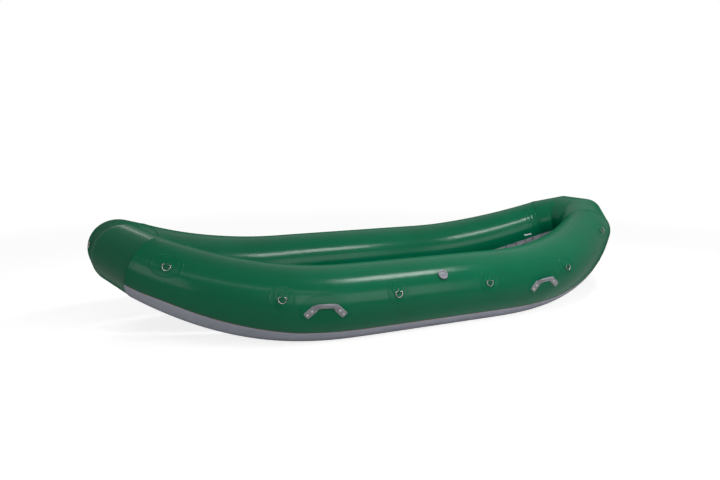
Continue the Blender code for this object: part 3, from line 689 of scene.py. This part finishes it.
for side_name, side in sides:
    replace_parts(chafe_strip(f"{side_name}_rubbing_strip", side), f"{side_name}_chafe_strip")
    chafe_glue(f"{side_name}_rubbing_strip_glue", side)
    chafe_glue(f"{side_name}_rubbing_strip_inner_glue", side, True)

# Floor and lacing, at the same places as the solids

floor_thickness, floor_height, floor_rise = 0.10, 0.11, 0.32
floor_rise_start_share, floor_rise_power = 0.155, 1.9
lace_count, lip_width, lace_gap, flange_width = 40, 0.022, 0.030, 0.022
eyelet, eyelet_edge, cord_radius, lace_plate = 0.008, 0.007, 0.0025, 0.002
flange_start = lip_width + lace_gap
floor_edge_inset = flange_start + flange_width
furthest_lacing = nose_x - nose_radius - lip_width - lace_gap / 2
gap_steps = 200


def floor_line(x):
    """The height of the floor's middle at x."""
    rise = ramp(abs(x), floor_rise_start_share * nose_x, furthest_lacing, floor_rise_power)
    return floor_height + floor_rise * rise


def floor_z(s, side):
    outboard, level = skin(s, (0, 180), 0, side)
    return floor_line((level + unit(level - outboard) * (lip_width + lace_gap / 2))[0])


def lace_degrees(s, side):
    """Where the lacing meets the tube, in degrees round it."""
    outboard, level = skin(s, (0, 180), 0, side)
    drop = (level[2] + outboard[2]) / 2 - floor_z(s, side)
    return 180 + math.degrees(math.asin(drop / tube_radius(s)))


def lace_point(s, side, inset, lift=0.0):
    """A point of the lacing, inset from the tube's skin and lifted over the lacing's middle."""
    outboard, level = skin(s, (0, 180), 0, side)
    inboard = level - outboard
    inboard[2] = 0
    point = skin(s, lace_degrees(s, side), fabric, side)[0] + unit(inboard) * inset
    point[2] = floor_z(s, side) + lift
    return point


gap_s = np.linspace(-nose_s, nose_s, gap_steps)
gap_run = running_length(np.array([lace_point(s, PORT, lip_width + lace_gap / 2) for s in gap_s]))


def loop_place(share):
    """The tube's place and side at a share of the way round the raft."""
    share = share % 1
    s = float(np.interp((share if share <= 0.5 else 1 - share) * 2 * gap_run[-1], gap_run, gap_s))
    return (s, PORT if share <= 0.5 else STARBOARD)


strip_steps, strip_edge, flange_overlap, scallop_depth = 12, 0.0007, 0.012, 0.006


def lace_strip(name, insets, look, scallop, shift):
    """A thin ring round the raft. Its free edge is scalloped between the eyelets."""
    count = lace_count * strip_steps
    low, high = -lace_plate / 2, -lace_plate / 2 + strip_edge
    rows = []
    for index in range(count + 1):
        s, side = loop_place(index / count)
        wave = scallop * (0.5 - 0.5 * math.cos(2 * math.pi * (index / count * lace_count - shift)))
        first = insets[0] + max(wave, 0)
        last = insets[1] + min(wave, 0)
        loop = ((first, high), (first + strip_edge, low), (last - strip_edge, low), (last, high))
        loop += tuple((inset, -lift) for inset, lift in reversed(loop))
        rows.append([lace_point(s, side, inset, lift) for inset, lift in loop])
    rows[-1] = rows[0]
    return grid_mesh(name, rows, look, closed=True)


strip = lace_strip("tube_lacing_strip", (0.0005, lip_width), hull_look, -scallop_depth, 0.0)
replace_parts(strip, "tube_lace_strip")
flange_insets = (flange_start, floor_edge_inset + flange_overlap)
lace_strip("floor_lacing_flange", flange_insets, flange_look, scallop_depth, 0.5)

tape_width, tape_steps = 0.038, 8
tape_shares = np.array((0.0, 0.03, 0.30, 0.92, 0.985, 1.0))
tape_heights = np.array((0.0042, 0.0026, 0.0014, 0.0013, 0.0009, 0.0001))


def lacing_tape(name):
    """The glued tape that holds the lacing strip to the tube, one band above and one below the lip."""
    parts = []
    for way in (1, -1):
        rows = []
        for index in range(lace_count * tape_steps + 1):
            s, side = loop_place(index / (lace_count * tape_steps))
            turns = lace_degrees(s, side) - way * degrees_over(tape_width, s) * tape_shares
            rows.append(skin(s, turns, tape_heights, side))
        rows[-1] = rows[0]
        parts.append(grid_mesh(f"{name}_{way}", rows, tape_look))
    return joined(name, parts)


lacing_tape("lacing_strip_tape")

# A grommet's upper half, as radius and height
grommet_profile = (
    (0.0041, 0.0), (0.0041, 0.0012), (0.0050, 0.0019), (0.0062, 0.0018), (0.0072, 0.0011), (0.0074, 0.0),
)
grommet_sides, grommet_reach, grommet_step = 18, 0.004, 0.002


def grommets(name, shift, inset, look):
    profile = grommet_profile + tuple((r, -z) for r, z in reversed(grommet_profile[1:-1]))
    parts = []
    for index in range(lace_count):
        s, side = loop_place((index + shift) / lace_count)
        ahead = loop_place((index + shift + grommet_step) / lace_count)
        at = Vector(lace_point(s, side, inset))
        x = (Vector(lace_point(s, side, inset + grommet_reach)) - at).normalized()
        tangent = (Vector(lace_point(*ahead, inset)) - at).normalized()
        z = x.cross(tangent).normalized()
        z = z if z.z > 0 else -z
        rows = lathe_rows(profile + profile[:1], grommet_sides, framed(at, x, z.cross(x).normalized(), z))
        parts.append(grid_mesh(f"{name}_{index}", rows, look, closed=True))
    return joined(name, parts)


tube_eyelet_inset = lip_width - eyelet_edge - eyelet / 2
floor_eyelet_inset = flange_start + eyelet_edge + eyelet / 2
grommets("tube_strip_grommets", 0.0, tube_eyelet_inset, brass_look)
grommets("floor_flange_grommets", 0.5, floor_eyelet_inset, brass_look)

cord_sides, cord_bow, cord_clear, cord_turn_length = 10, 0.004, 0.0013, 0.02
cord_turn_steps, cord_gap_steps, cord_turn_pull, cord_gap_pull = 3, 9, 0.6, 0.5


def cord_stretch(start, end):
    """The cord from one point towards the next: through an eyelet, or bowed across the gap."""
    run = end - start
    if run.length < cord_turn_length:
        steps, leaving, arriving = cord_turn_steps, run * cord_turn_pull, run * cord_turn_pull
    else:
        bow = upward * (-cord_bow if start.z < floor_line(start.x) else cord_bow)
        steps, leaving, arriving = cord_gap_steps, run * cord_gap_pull + bow, run * cord_gap_pull - bow
    made = []
    for step in range(steps):
        t = step / steps
        near, far = 2 * t**3 - 3 * t**2 + 1, 3 * t**2 - 2 * t**3
        made.append(start * near + leaving * (t**3 - 2 * t**2 + t) + end * far + arriving * (t**3 - t**2))
    return made


def lacing_cord(name):
    lift = lace_plate / 2 + cord_radius + cord_clear
    points = []
    for index in range(lace_count):
        for shift, inset, order in ((0, tube_eyelet_inset, (1, -1)), (0.5, floor_eyelet_inset, (-1, 1))):
            s, side = loop_place((index + shift) / lace_count)
            points += [Vector(lace_point(s, side, inset, way * lift)) for way in order]
    line = []
    for start, end in zip(points, points[1:] + points[:1]):
        line += cord_stretch(start, end)
    rows = swept(line, cord_radius, cord_sides, upward, closed=True)
    return grid_mesh(name, rows, cord_look, closed=True)


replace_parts(lacing_cord("floor_lacing_braid"), "floor_lacing")

# The floor's skin: crowned between the rows where its webs pull it flat

web_count, web_reach, web_inset = 6, 0.2697, 0.0095
web_rows = [web_reach * (2 * web / (web_count - 1) - 1) for web in range(web_count)]
section_steps, floor_steps, edge_steps = 144, 121, 241
web_steps = 61
tip_width, floor_tip_gap = 0.05, 0.0005
valley_depth, valley_width, valley_fade, valley_edge = 0.0065, 0.013, 0.06, 0.035
edge_s = np.linspace(-nose_s, nose_s, edge_steps)
edge_line = np.array([lace_point(s, PORT, floor_edge_inset) for s in edge_s])
edge_x, edge_y, edge_z = edge_line[:, 0], np.maximum(edge_line[:, 1], 0), edge_line[:, 2]


def floor_width(x):
    return float(np.interp(x, edge_x, edge_y))


def floor_middle(x):
    return float(np.interp(x, edge_x, edge_z))


def floor_section(x, ways=(1, -1)):
    """Points across the floor at x: over its top, then back under its bottom."""
    half, width, middle = floor_thickness / 2, floor_width(x), floor_middle(x)
    tip = min(width / tip_width, 1)
    radius = min(half, width)
    points = []
    for way in ways:
        for step in range(section_steps + 1):
            y = way * width * math.sin((2 * step / section_steps - 1) * math.pi / 2)
            flat = max(abs(y) - (width - radius), 0) / radius if radius > 0 else 1
            z = half * math.sqrt(max(1 - flat * flat, 0)) * math.sqrt(tip)
            fade = min(max((width - abs(y)) / valley_fade, 0), 1)
            shown = (row for row in web_rows if abs(row) < width - valley_edge)
            valley = valley_depth * fade * sum(math.exp(-(((y - row) / valley_width) ** 2)) for row in shown)
            points.append((x, y, middle + way * (z - valley * tip)))
    return points


def floor_top(x, across):
    """The height of the floor's top at x, at one y or at several."""
    top = np.array(floor_section(x, ways=(1,)))
    return np.interp(across, top[:, 1], top[:, 2])


floor_x = np.sin(np.linspace(-math.pi / 2, math.pi / 2, floor_steps)) * (edge_x[-1] - floor_tip_gap)
floor_rows = [floor_section(float(x)) for x in floor_x]
piece = grid_mesh("floor_skin_crowned", floor_rows, floor_look, closed=True, caps=True)
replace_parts(piece, "floor_skin")

seam_strip_width, seam_strip_edge, seam_strip_steps = 0.014, 0.075, 161
seam_strip_shares = np.array((-0.5, -0.46, -0.2, 0.2, 0.46, 0.5))
seam_strip_lifts = np.array((0.0, 0.0008, 0.0010, 0.0010, 0.0008, 0.0))


def floor_seam(name, row):
    """The dark strip that covers the stitches in one valley of the floor."""
    line = row + seam_strip_shares * seam_strip_width
    rows = []
    for x in np.linspace(floor_x[0], floor_x[-1], seam_strip_steps):
        if floor_width(x) >= abs(row) + seam_strip_edge:
            heights = floor_top(float(x), line) + seam_strip_lifts
            rows.append([(float(x), y, z) for y, z in zip(line, heights)])
    return grid_mesh(name, rows, floor_strip_and_crease_shade_look)


for index, row in enumerate(web_rows):
    floor_seam(f"floor_seam_{index}", row)

# Dark strips that paint the shade of the creases at the floor's edge
crease_count, crease_reach, crease_width, crease_taper, crease_steps = 2 * lace_count, 0.14, 0.015, 0.6, 12
crease_lines = ((-0.5, 0.0), (-0.42, 0.0008), (0, 0.001), (0.42, 0.0008), (0.5, 0.0))


def floor_crease_shade(name):
    """Painted shade of the creases across the floor's edge, where the lacing pulls it: dark strips laid just
    over the skin.
    """
    parts = []
    start_inset = floor_edge_inset + flange_overlap
    for index in range(crease_count):
        here, ahead = (loop_place((index + share) / crease_count) for share in (0.5, 0.51))
        outer = Vector(lace_point(*here, start_inset))
        inner = Vector(lace_point(*here, floor_edge_inset + crease_reach))
        tangent = Vector(lace_point(*ahead, start_inset)) - outer
        tangent.z = 0
        tangent.normalize()
        rows = []
        for share in np.linspace(0, 1, crease_steps):
            middle = outer.lerp(inner, float(share))
            width = crease_width * (1 - crease_taper * float(share))
            row = []
            for across, lift in crease_lines:
                point = middle + tangent * width * across
                row.append((point.x, point.y, float(floor_top(point.x, point.y)) + lift))
            rows.append(row)
        parts.append(grid_mesh(f"{name}_{index}", rows, floor_strip_and_crease_shade_look))
    return joined(name, parts)


floor_crease_shade("floor_edge_crease_shade")


def floor_web_sheet(name):
    """The folded sheet that ties the floor's top to its bottom, just inside the skin."""
    reach = max(abs(corner[0]) for corner in frame["nodes"]["floor_webs"].bound_box)
    rise = floor_thickness / 2 - web_inset
    rows = []
    for x in np.linspace(-reach, reach, web_steps):
        middle = floor_middle(x)
        row = []
        for index, y in enumerate(web_rows):
            first = rise if index % 2 else -rise
            row += [(x, y, middle + first), (x, y, middle - first)]
        rows.append(row)
    return thicken(grid_mesh(name, rows, lining_look), fabric)


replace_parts(floor_web_sheet("floor_web_sheet"), "floor_webs")

for name in tuple(f"{e}_{s}_baffle" for e, _ in ends for s, _ in sides):
    frame["nodes"][name].data.materials.clear()
    frame["nodes"][name].data.materials.append(lining_look)

# D-rings

dring_width, dring_depth, dring_wire, dring_corner_share, dring_sides = 0.057, 0.036, 0.003, 0.15, 14
dring_corner = dring_corner_share * dring_depth
patch_radius, patch_thickness, patch_sides = 0.0775, 0.0012, 56
pad_radius, pad_thickness, pad_down, pad_low, pad_sides = 0.045, 0.0013, -0.016, 0.0012, 44
strap_wall, strap_shown_width, strap_lie, strap_low, tail_share = 0.0022, 0.018, 0.0028, 0.0016, 0.62
strap_turn_from, strap_turn_step, strap_turns, strap_edge_pull = 150, 15, 9, 0.94
# The strap's tail as distance below the bar and height, and its lines as shares of its width
strap_tail = ((-0.027, -0.0004), (-0.0265, 0.0006), (-0.016, 0.0009), (-0.009, 0.0022))
strap_back = ((0.012, strap_low), (-0.02, strap_low))
strap_shares = (-0.5, -0.485, -0.46, -0.2, 0.2, 0.46, 0.485, 0.5)
bar_steps, corner_steps, bow_steps = 9, 6, 32
loop_half, loop_fall, loop_rise, loop_down, loop_spread = 0.012, 0.010, 0.0022, 0.002, 0.014
nose_angle = 22.0
dring_places = (("mid", 0.190, 19.5), ("quarter", 0.575, 19.5), ("end", 0.912, 35.0))
# A disc's rolled rim as shares of its radius and thickness, then its flat rings
disc_rim = ((1.0, 0.0), (1.0, 0.55), (0.985, 1.3), (0.95, 1.8), (0.91, 1.3))
dome_fade = 12
disc_rings = (0.84, 0.74, 0.64, 0.52, 0.40, 0.28, 0.16, 0.05)


def disc(name, place, radius, thickness, sides, low, centre_down=0.0, dome=None):
    """A round sheet glued on the skin, with a rolled edge. dome adds height at (along, down)."""
    rows = []
    for share, part in disc_rim + tuple((share, 1.0) for share in disc_rings):
        row = []
        for step in range(sides):
            turn = 2 * math.pi * step / sides
            along = share * radius * math.cos(turn)
            down = centre_down + share * radius * math.sin(turn)
            extra = dome(along, down) * min((1 - share) * dome_fade, 1) if dome else 0
            row.append(wrapped(place, along, down, low + thickness * part + extra))
        rows.append(row)
    return grid_mesh(name, rows, patch_look, closed=True, caps=True)


def over_bar(along, down):
    """The pad's rise under the strap's loop."""
    across = max(abs(along) - loop_half, 0) / loop_fall
    return loop_rise * math.exp(-across * across - ((down + loop_down) / loop_spread) ** 2)


def arc(x, y, wide, high, turns):
    return [(x + wide * math.cos(turn), y + high * math.sin(turn)) for turn in turns]


def dring_path():
    """The wire's middle line, from the bar's left end: x along the bar and y across the ring."""
    half = dring_width / 2 - dring_wire
    reach, corner = half - dring_corner, dring_corner
    quarter = [math.pi / 2 * step / corner_steps for step in range(1, corner_steps)]
    bow = [math.pi * step / bow_steps for step in range(bow_steps + 1)]
    points = [(x, 0) for x in np.linspace(-reach, reach, bar_steps)]
    points += arc(reach, -corner, corner, corner, reversed(quarter))
    points += arc(0, -corner, half, corner - dring_depth, bow)
    points += arc(-reach, -corner, corner, corner, (math.pi - turn for turn in quarter))
    return points


dring_points = dring_path()


def joint_line(name):
    """A joint's place and its line."""
    joint = next(j for j in frame["joints"] if j["name"] == name)
    return Vector(joint["pos_m"]), Vector(joint["axis"])


def dring(name, place):
    at, bar = joint_line(name + "_swing")
    s, angle, side = place
    # The middle of the ring's solid says which way the D hangs
    solid = frame["nodes"][name]
    points = [solid.matrix_world @ vertex.co for vertex in solid.data.vertices]
    hang = sum(points, Vector()) / len(points) - at
    down = (hang - bar * hang.dot(bar)).normalized()
    path = [at + bar * x - down * z for x, z in dring_points]
    rows = swept(path, dring_wire, dring_sides, bar.cross(down).normalized(), closed=True)
    ring = grid_mesh(name + "_wire", rows, ring_look, body=name + "_body", closed=True)
    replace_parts(ring, name)
    patch = disc(name + "_patch", place, patch_radius, patch_thickness, patch_sides, low=0.0001)
    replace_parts(patch, name + "_base")
    disc(name + "_pad", place, pad_radius, pad_thickness, pad_sides, pad_low, pad_down, over_bar)
    bar_height = (at - skin_at(s, angle, 0, side)).dot(skin_out(s, angle, side))
    strap(name + "_strap", place, bar_height)


def strap(name, place, bar_height):
    """The doubled strap round the bar, with its tails spread on the pad."""
    outer = dring_wire + clear + strap_wall
    turns = [math.radians(strap_turn_from - strap_turn_step * step) for step in range(strap_turns)]
    tail = [(down, strap_lie + rise) for down, rise in strap_tail]
    outline = tail + arc(0, bar_height, outer, outer, turns)
    outline += [(-down * tail_share, rise) for down, rise in reversed(tail)]
    outline += strap_back
    rows = []
    for share in strap_shares:
        pull = strap_edge_pull if abs(share) == 0.5 else 1
        along = share * strap_shown_width
        places = [(down * pull, strap_low + (rise - strap_low) * pull) for down, rise in outline]
        rows.append([wrapped(place, along, down, rise) for down, rise in places])
    return grid_mesh(name, rows, strap_look, closed=True, caps=True)


for end_name, end in ends:
    dring(f"{end_name}_nose_dring", (end * nose_s, nose_angle, PORT))
    for side_name, side in sides:
        for place_name, share, angle in dring_places:
            dring(f"{end_name}_{side_name}_{place_name}_dring", (end * share * seam_s, angle, side))

# Handles

handle_length, plate_length, plate_width, plate_thickness = 0.260, 0.077, 0.042, 0.006
handle_slant, grip_rise, handle_share, grip_sides = math.radians(45), 0.039, 0.442, 24
plate_top, plate_corner, rivet_shares, rivet_sides = 0.0035 + plate_thickness, 0.009, (-0.12, 0.32), 18
patch_width, patch_top, patch_bottom, patch_foot = 0.305, 0.106, 0.075, 0.0001
outline_steps, plate_corner_steps, grip_steps = 5, 6, 5
rivet_proud, rivet_aim = 0.0003, 0.01
# Half of the patch's outline, as shares of its half width and of its top or bottom
outline_shares = (
    (0.0, -1.0), (0.40, -0.98), (0.64, -0.84), (0.87, -0.53),
    (1.0, 0.0), (0.90, 0.55), (0.55, 0.92), (0.0, 1.0),
)
patch_lines = ((1, 0.0), (1, 0.0006), (0.993, 0.0011), (0.975, 0.0013))
patch_lines += tuple((share, 0.0013) for share in (0.85, 0.7, 0.55, 0.4, 0.25, 0.1))
# The plate's lines, as the distance in from its edge and the height
plate_lines = (
    (0.0, 0.0008), (0.0, plate_top - 0.0022), (0.0006, plate_top - 0.0008), (0.0022, plate_top),
    (0.006, plate_top + 0.0003), (0.014, plate_top + 0.0004), (0.022, plate_top + 0.0004),
)
rivet_profile = (
    (0.0068, -0.001), (0.0068, 0.0006), (0.0060, 0.0016), (0.0042, 0.0023), (0.0018, 0.0026), (0.0, 0.0026),
)
# The grip from one plate to its middle: along, down and out from the handle's middle, then its
# half-width and half-thickness
grip_stations = (
    (-0.0790, -0.0150, 0.0075, 0.0185, 0.0045),
    (-0.0680, -0.0235, 0.0105, 0.0185, 0.0050),
    (-0.0590, -0.0305, 0.0180, 0.0180, 0.0060),
    (-0.0480, -0.0350, 0.0270, 0.0170, 0.0075),
    (-0.0340, -0.0378, 0.0345, 0.0160, 0.0088),
    (-0.0170, -0.0388, 0.0375, 0.0155, 0.0094),
    (0.0, -grip_rise, 0.0380, 0.0155, 0.0095),
)
slant_along, slant_down = math.cos(handle_slant), math.sin(handle_slant)
plate_along = handle_length / 2 - (plate_length * slant_along + plate_width * slant_down) / 2


def handle_patch(name, place):
    half = [(a * patch_width / 2, d * (patch_top if d < 0 else patch_bottom)) for a, d in outline_shares]
    loop = smooth_loop(half + [(-a, d) for a, d in half[-2:0:-1]], outline_steps)
    rows = []
    for share, height in patch_lines:
        rows.append([wrapped(place, p.x * share, p.y * share, height + patch_foot) for p in loop])
    return grid_mesh(name, rows, patch_look, closed=True, caps=True)


def handle_plate(name, place, way):
    corners = ((-0.5, -0.5), (0.5, -0.5), (0.5, 0.5), (-0.5, 0.5))
    corners = [(run * plate_length, cross * plate_width) for run, cross in corners]
    loop = rounded(corners, plate_corner, plate_corner_steps)
    rows = []
    for inset, height in plate_lines:
        row = []
        for p in loop:
            run = p.x * (1 - 2 * inset / plate_length)
            cross = p.y * (1 - 2 * inset / plate_width)
            along = way * (plate_along + run * slant_along + cross * slant_down)
            row.append(wrapped(place, along, run * slant_down - cross * slant_along, height))
        rows.append(row)
    return grid_mesh(name, rows, grip_look, closed=True, caps=True)


def handle_rivet(name, place, way, run):
    along = way * (plate_along + run * plate_length * slant_along)
    down = run * plate_length * slant_down
    at = wrapped(place, along, down, plate_top + rivet_proud)
    z = (wrapped(place, along, down, plate_top + rivet_aim) - at).normalized()
    x = z.orthogonal().normalized()
    lathe(name, rivet_profile, rivet_sides, framed(at, x, z.cross(x), z), rivet_look)


def handle_bar(name, place):
    path = grip_stations + tuple((-a, *rest) for a, *rest in grip_stations[-2::-1])
    line = smooth_line([wrapped(place, a, d, h) for a, d, h, w, t in path], grip_steps)
    widths = smooth_line([Vector((w, t, 0)) for a, d, h, w, t in path], grip_steps)
    flats = [width.y / width.x for width in widths]
    rows = swept(line, [width.x for width in widths], grip_sides, skin_out(*place), flat_share=flats)
    return grid_mesh(name, rows, grip_look, caps=True, closed=True)


def handle(name, place):
    handle_patch(name + "_patch", place)
    parts = []
    for way, way_letter in ((-1, "l"), (1, "r")):
        parts.append(handle_plate(f"{name}_plate_{way}", place, way))
        for run, letter in zip(rivet_shares, "ab"):
            handle_rivet(f"{name}_rivet_{letter}{way_letter}", place, way, run)
    parts.append(handle_bar(name + "_bar", place))
    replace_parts(joined(name + "_grip", parts), name)


for end_name, end in ends:
    for side_name, side in sides:
        handle(f"{end_name}_{side_name}_handle", (end * handle_share * seam_s, 0.0, side))

# Valves

# Pieces turned about the valve's own axis, from profiles of radius and height
flange_radius, flange_height, bore_radius, barrel_radius, thread_radius = 0.035, 0.005, 0.016, 0.0225, 0.0265
barrel_end, shoulder_low, shoulder_high = -0.026, -0.007, -0.003
body_profile = (
    (flange_radius - 0.001, 0.0), (flange_radius, 0.0012), (flange_radius, flange_height - 0.0016),
    (flange_radius - 0.0007, flange_height - 0.0005), (flange_radius - 0.002, flange_height),
    (bore_radius + 0.0008, flange_height), (bore_radius, flange_height - 0.0008), (bore_radius, -0.0118),
    (0.0046, -0.0120), (0.0042, -0.0124), (0.0042, -0.0156), (0.0046, -0.0160), (bore_radius, -0.0162),
    (bore_radius, barrel_end), (barrel_radius, barrel_end), (barrel_radius, shoulder_low),
    (thread_radius, shoulder_low), (thread_radius, shoulder_high), (barrel_radius, shoulder_high),
    (barrel_radius, 0.0), (flange_radius - 0.001, 0.0),
)
cap_radius, cap_height, plug_radius = 0.0365, 0.007, bore_radius - 0.001
cap_low = flange_height + clear
cap_top = cap_low + cap_height
cap_profile = tuple((r, cap_top) for r in (0.0, 0.006, 0.012, 0.018, 0.0225, 0.0238, 0.0252, 0.030))
cap_profile += (
    (cap_radius - 0.0022, cap_top), (cap_radius - 0.0007, cap_top - 0.0006), (cap_radius, cap_top - 0.0020),
    (cap_radius, cap_low + 0.0012), (cap_radius - 0.0008, cap_low), (plug_radius, cap_low),
    (plug_radius, cap_low - 0.0055), (plug_radius - 0.001, cap_low - 0.007),
    (plug_radius - 0.003, cap_low - 0.007), (plug_radius - 0.003, cap_low), (0.0, cap_low),
)
cap_knurls, knurl_height, cap_sides, cap_smooth_angle = 24, 0.0004, 72, 50
recess_depth, recess_radius, recess_wall, bar_half, bar_wall = 0.003, 0.0242, 0.0015, 0.0046, 0.0012
poppet_seat = barrel_end - clear
poppet_button = -0.012 + clear + 0.004
poppet_profile = (
    (0.0, poppet_button + 0.003), (0.0065, poppet_button + 0.003), (0.0078, poppet_button + 0.0022),
    (0.008, poppet_button + 0.001), (0.0074, poppet_button), (0.0038, poppet_button),
    (0.0038, poppet_seat), (0.0192, poppet_seat), (0.020, poppet_seat - 0.0008),
    (0.020, poppet_seat - 0.0022), (0.019, poppet_seat - 0.003), (0.0, poppet_seat - 0.003),
)
body_sides, poppet_sides = 56, 40


def cap_point(radius, height, turn):
    """A point of the cap: knurled at its edge, with a bar left across the recess in its top."""
    ring = radius
    if ring == cap_radius:
        radius += knurl_height * math.cos(turn * cap_knurls)
    x, y = radius * math.cos(turn), radius * math.sin(turn)
    if height == cap_top:
        inside = min(max((recess_radius - ring) / recess_wall, 0), 1)
        height -= recess_depth * inside * min(max((abs(y) - bar_half) / bar_wall, 0), 1)
    return Vector((x, y, height))


def valve(name, x_hint, with_poppet=True):
    at, z = joint_line(name + "_valve_cap_turn")
    z.normalize()
    x = (x_hint - z * x_hint.dot(z)).normalized()
    matrix = framed(at, x, z.cross(x), z)
    body = lathe(f"{name}_valve_seat", body_profile, body_sides, matrix, body_look)
    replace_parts(body, f"{name}_valve_body")
    turns = [2 * math.pi * step / cap_sides for step in range(cap_sides)]
    rows = [[matrix @ cap_point(r, height, turn) for turn in turns] for r, height in cap_profile]
    cap_body = f"{name}_valve_cap_body"
    cap = closed_solid(f"{name}_valve_lid", rows, cap_look, cap_body, cap_smooth_angle)
    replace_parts(cap, f"{name}_valve_cap")
    if with_poppet:
        poppet_body = f"{name}_valve_poppet_body"
        button = f"{name}_valve_button"
        poppet = lathe(button, poppet_profile, poppet_sides, matrix, poppet_look, poppet_body)
        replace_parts(poppet, f"{name}_valve_poppet")


for side_name, side in sides:
    valve(side_name, Vector((1, 0, 0)))
for end_name, end in ends:
    valve(end_name, Vector((0, 1, 0)))
valve("floor", Vector((1, 0, 0)), False)

# The bare label on the port tube's inboard face, by the bow

# Each end is a place along the tube and its degrees round it
label_from, label_to, label_width, label_film = (1.715, 187.0), (1.803, 193.0), 0.011, 0.0005
label_shares, label_heights = np.array((-0.5, -0.48, 0.0, 0.48, 0.5)), (0.0001, *[label_film] * 3, 0.0001)
label_steps = 13


def label(name):
    rows = []
    for share in np.linspace(0, 1, label_steps):
        s, middle = (start + (stop - start) * share for start, stop in zip(label_from, label_to))
        rows.append(skin(s, middle + label_shares * degrees_over(label_width, s), label_heights, PORT))
    return grid_mesh(name, rows, label_look)


label("port_inboard_label")

# Camera, at the photograph's angle

camera_place = (-2.39555, -4.66181, 1.37446)
camera_azimuth, camera_elevation, camera_roll = 27.277, 8.572, 0.319
camera_focal, camera_sensor, camera_shift, camera_reach = 33.66, 36, (-0.0349, -0.0133), 200
azimuth, elevation = math.radians(camera_azimuth), math.radians(camera_elevation)
level_reach = math.cos(elevation)
look_along = Vector((math.sin(azimuth) * level_reach, math.cos(azimuth) * level_reach, -math.sin(elevation)))
camera = bpy.data.objects.new("camera", bpy.data.cameras.new("camera"))
bpy.context.scene.collection.objects.link(camera)
camera.location = camera_place
upright = look_along.to_track_quat("-Z", "Y").to_matrix()
camera.rotation_euler = (upright @ Matrix.Rotation(math.radians(camera_roll), 3, "Z")).to_euler()
camera.data.sensor_width = camera_sensor
camera.data.lens = camera_focal
camera.data.shift_x, camera.data.shift_y = camera_shift
camera.data.clip_end = camera_reach
bpy.context.scene.camera = camera

# Floor, backdrop and lamps

floor_reach, floor_grey, floor_glow = 60.0, 0.50, 0.80
white_from, white_to = 3.0, 6.5
ambient_strength = 0.11


def shown_ray(tree):
    """1 for the rays that show the backdrop: from the camera, a glossy surface or glass."""
    path = tree.nodes.new("ShaderNodeLightPath")
    total = path.outputs["Is Camera Ray"]
    for kind in ("Is Glossy Ray", "Is Transmission Ray"):
        total = add_node(tree, "Math", "Value", {0: total, 1: path.outputs[kind]}, operation="MAXIMUM")
    return total


def mixed_shader(tree, factor, first, last):
    return add_node(tree, "MixShader", "Shader", {0: factor, 1: first, 2: last})


def stage_look():
    """Pale grey that keeps the raft's soft shadow and turns plain white with distance."""
    look = bpy.data.materials.new("studio_floor")
    look.use_nodes = True
    tree = look.node_tree
    tree.nodes.clear()
    grey_paint = {"Color": (*grey(floor_grey), 1)}
    plain = add_node(tree, "BsdfDiffuse", "BSDF", grey_paint)
    glow, white = (add_node(tree, "Emission", "Emission", {"Strength": at}) for at in (floor_glow, 1.0))
    both = add_node(tree, "AddShader", "Shader", {0: plain, 1: glow})
    place = add_node(tree, "TexCoord", "Object", {})
    length = add_node(tree, "VectorMath", "Value", {0: place}, operation="LENGTH")
    far = spread(tree, length, 0.0, 1.0, white_from, white_to)
    shown = mixed_shader(tree, far, both, white)
    out = tree.nodes.new("ShaderNodeOutputMaterial")
    fill(tree, out, {"Surface": mixed_shader(tree, shown_ray(tree), plain, shown)})
    return look


def stage_floor():
    bm = bmesh.new()
    bmesh.ops.create_grid(bm, x_segments=8, y_segments=8, size=floor_reach)
    mesh = bpy.data.meshes.new("studio_floor")
    bm.to_mesh(mesh)
    bm.free()
    mesh.materials.append(stage_look())
    piece = bpy.data.objects.new("studio_floor", mesh)
    bpy.context.scene.collection.objects.link(piece)


def studio_world(ambient):
    """Plain white where it is seen, and a weak light on the raft."""
    world = bpy.data.worlds.new("studio")
    bpy.context.scene.world = world
    world.use_nodes = True
    tree = world.node_tree
    tree.nodes.clear()
    shaders = []
    for strength in (ambient, 1.0):
        inputs = {"Color": (*grey(1.0), 1), "Strength": strength}
        shaders.append(add_node(tree, "Background", "Background", inputs))
    out = tree.nodes.new("ShaderNodeOutputWorld")
    fill(tree, out, {"Surface": mixed_shader(tree, shown_ray(tree), *shaders)})


def softbox(name, at, aim, size, power, long_way=(1, 0, 0)):
    """A rectangular lamp whose longer side lies along long_way."""
    light = bpy.data.lights.new(name, "AREA")
    light.shape = "RECTANGLE"
    light.size, light.size_y = size
    light.energy = power
    made = bpy.data.objects.new(name, light)
    bpy.context.scene.collection.objects.link(made)
    back = (Vector(at) - Vector(aim)).normalized()
    along = (Vector(long_way) - back * back.dot(Vector(long_way))).normalized()
    made.matrix_world = framed(Vector(at), along, back.cross(along), back)


stage_floor()
studio_world(ambient_strength)
softbox("key_light", (0.95, -1.45, 3.05), (0.3, -0.3, 0.3), size=(1.35, 0.60), power=96)
softbox("left_panel", (-1.8, -3.1, 2.95), (-0.8, -0.4, 0.4), (4.2, 0.4), power=24, long_way=(4.3, -1.4, 0))
softbox("front_panel", (1.4, -7.5, 2.9), (0.4, 0, 0.4), size=(6.0, 3.4), power=300)
softbox("left_fill", (-5.4, -3.2, 1.7), (-1.7, 0, 0.45), (2.4, 2.0), power=60, long_way=(0.6, -0.8, 0))
softbox("back_strip", (-1.6, 2.4, 3.0), (-1.2, 0.2, 0.5), size=(1.8, 0.25), power=12)

bpy.context.scene.view_settings.view_transform = "Standard"
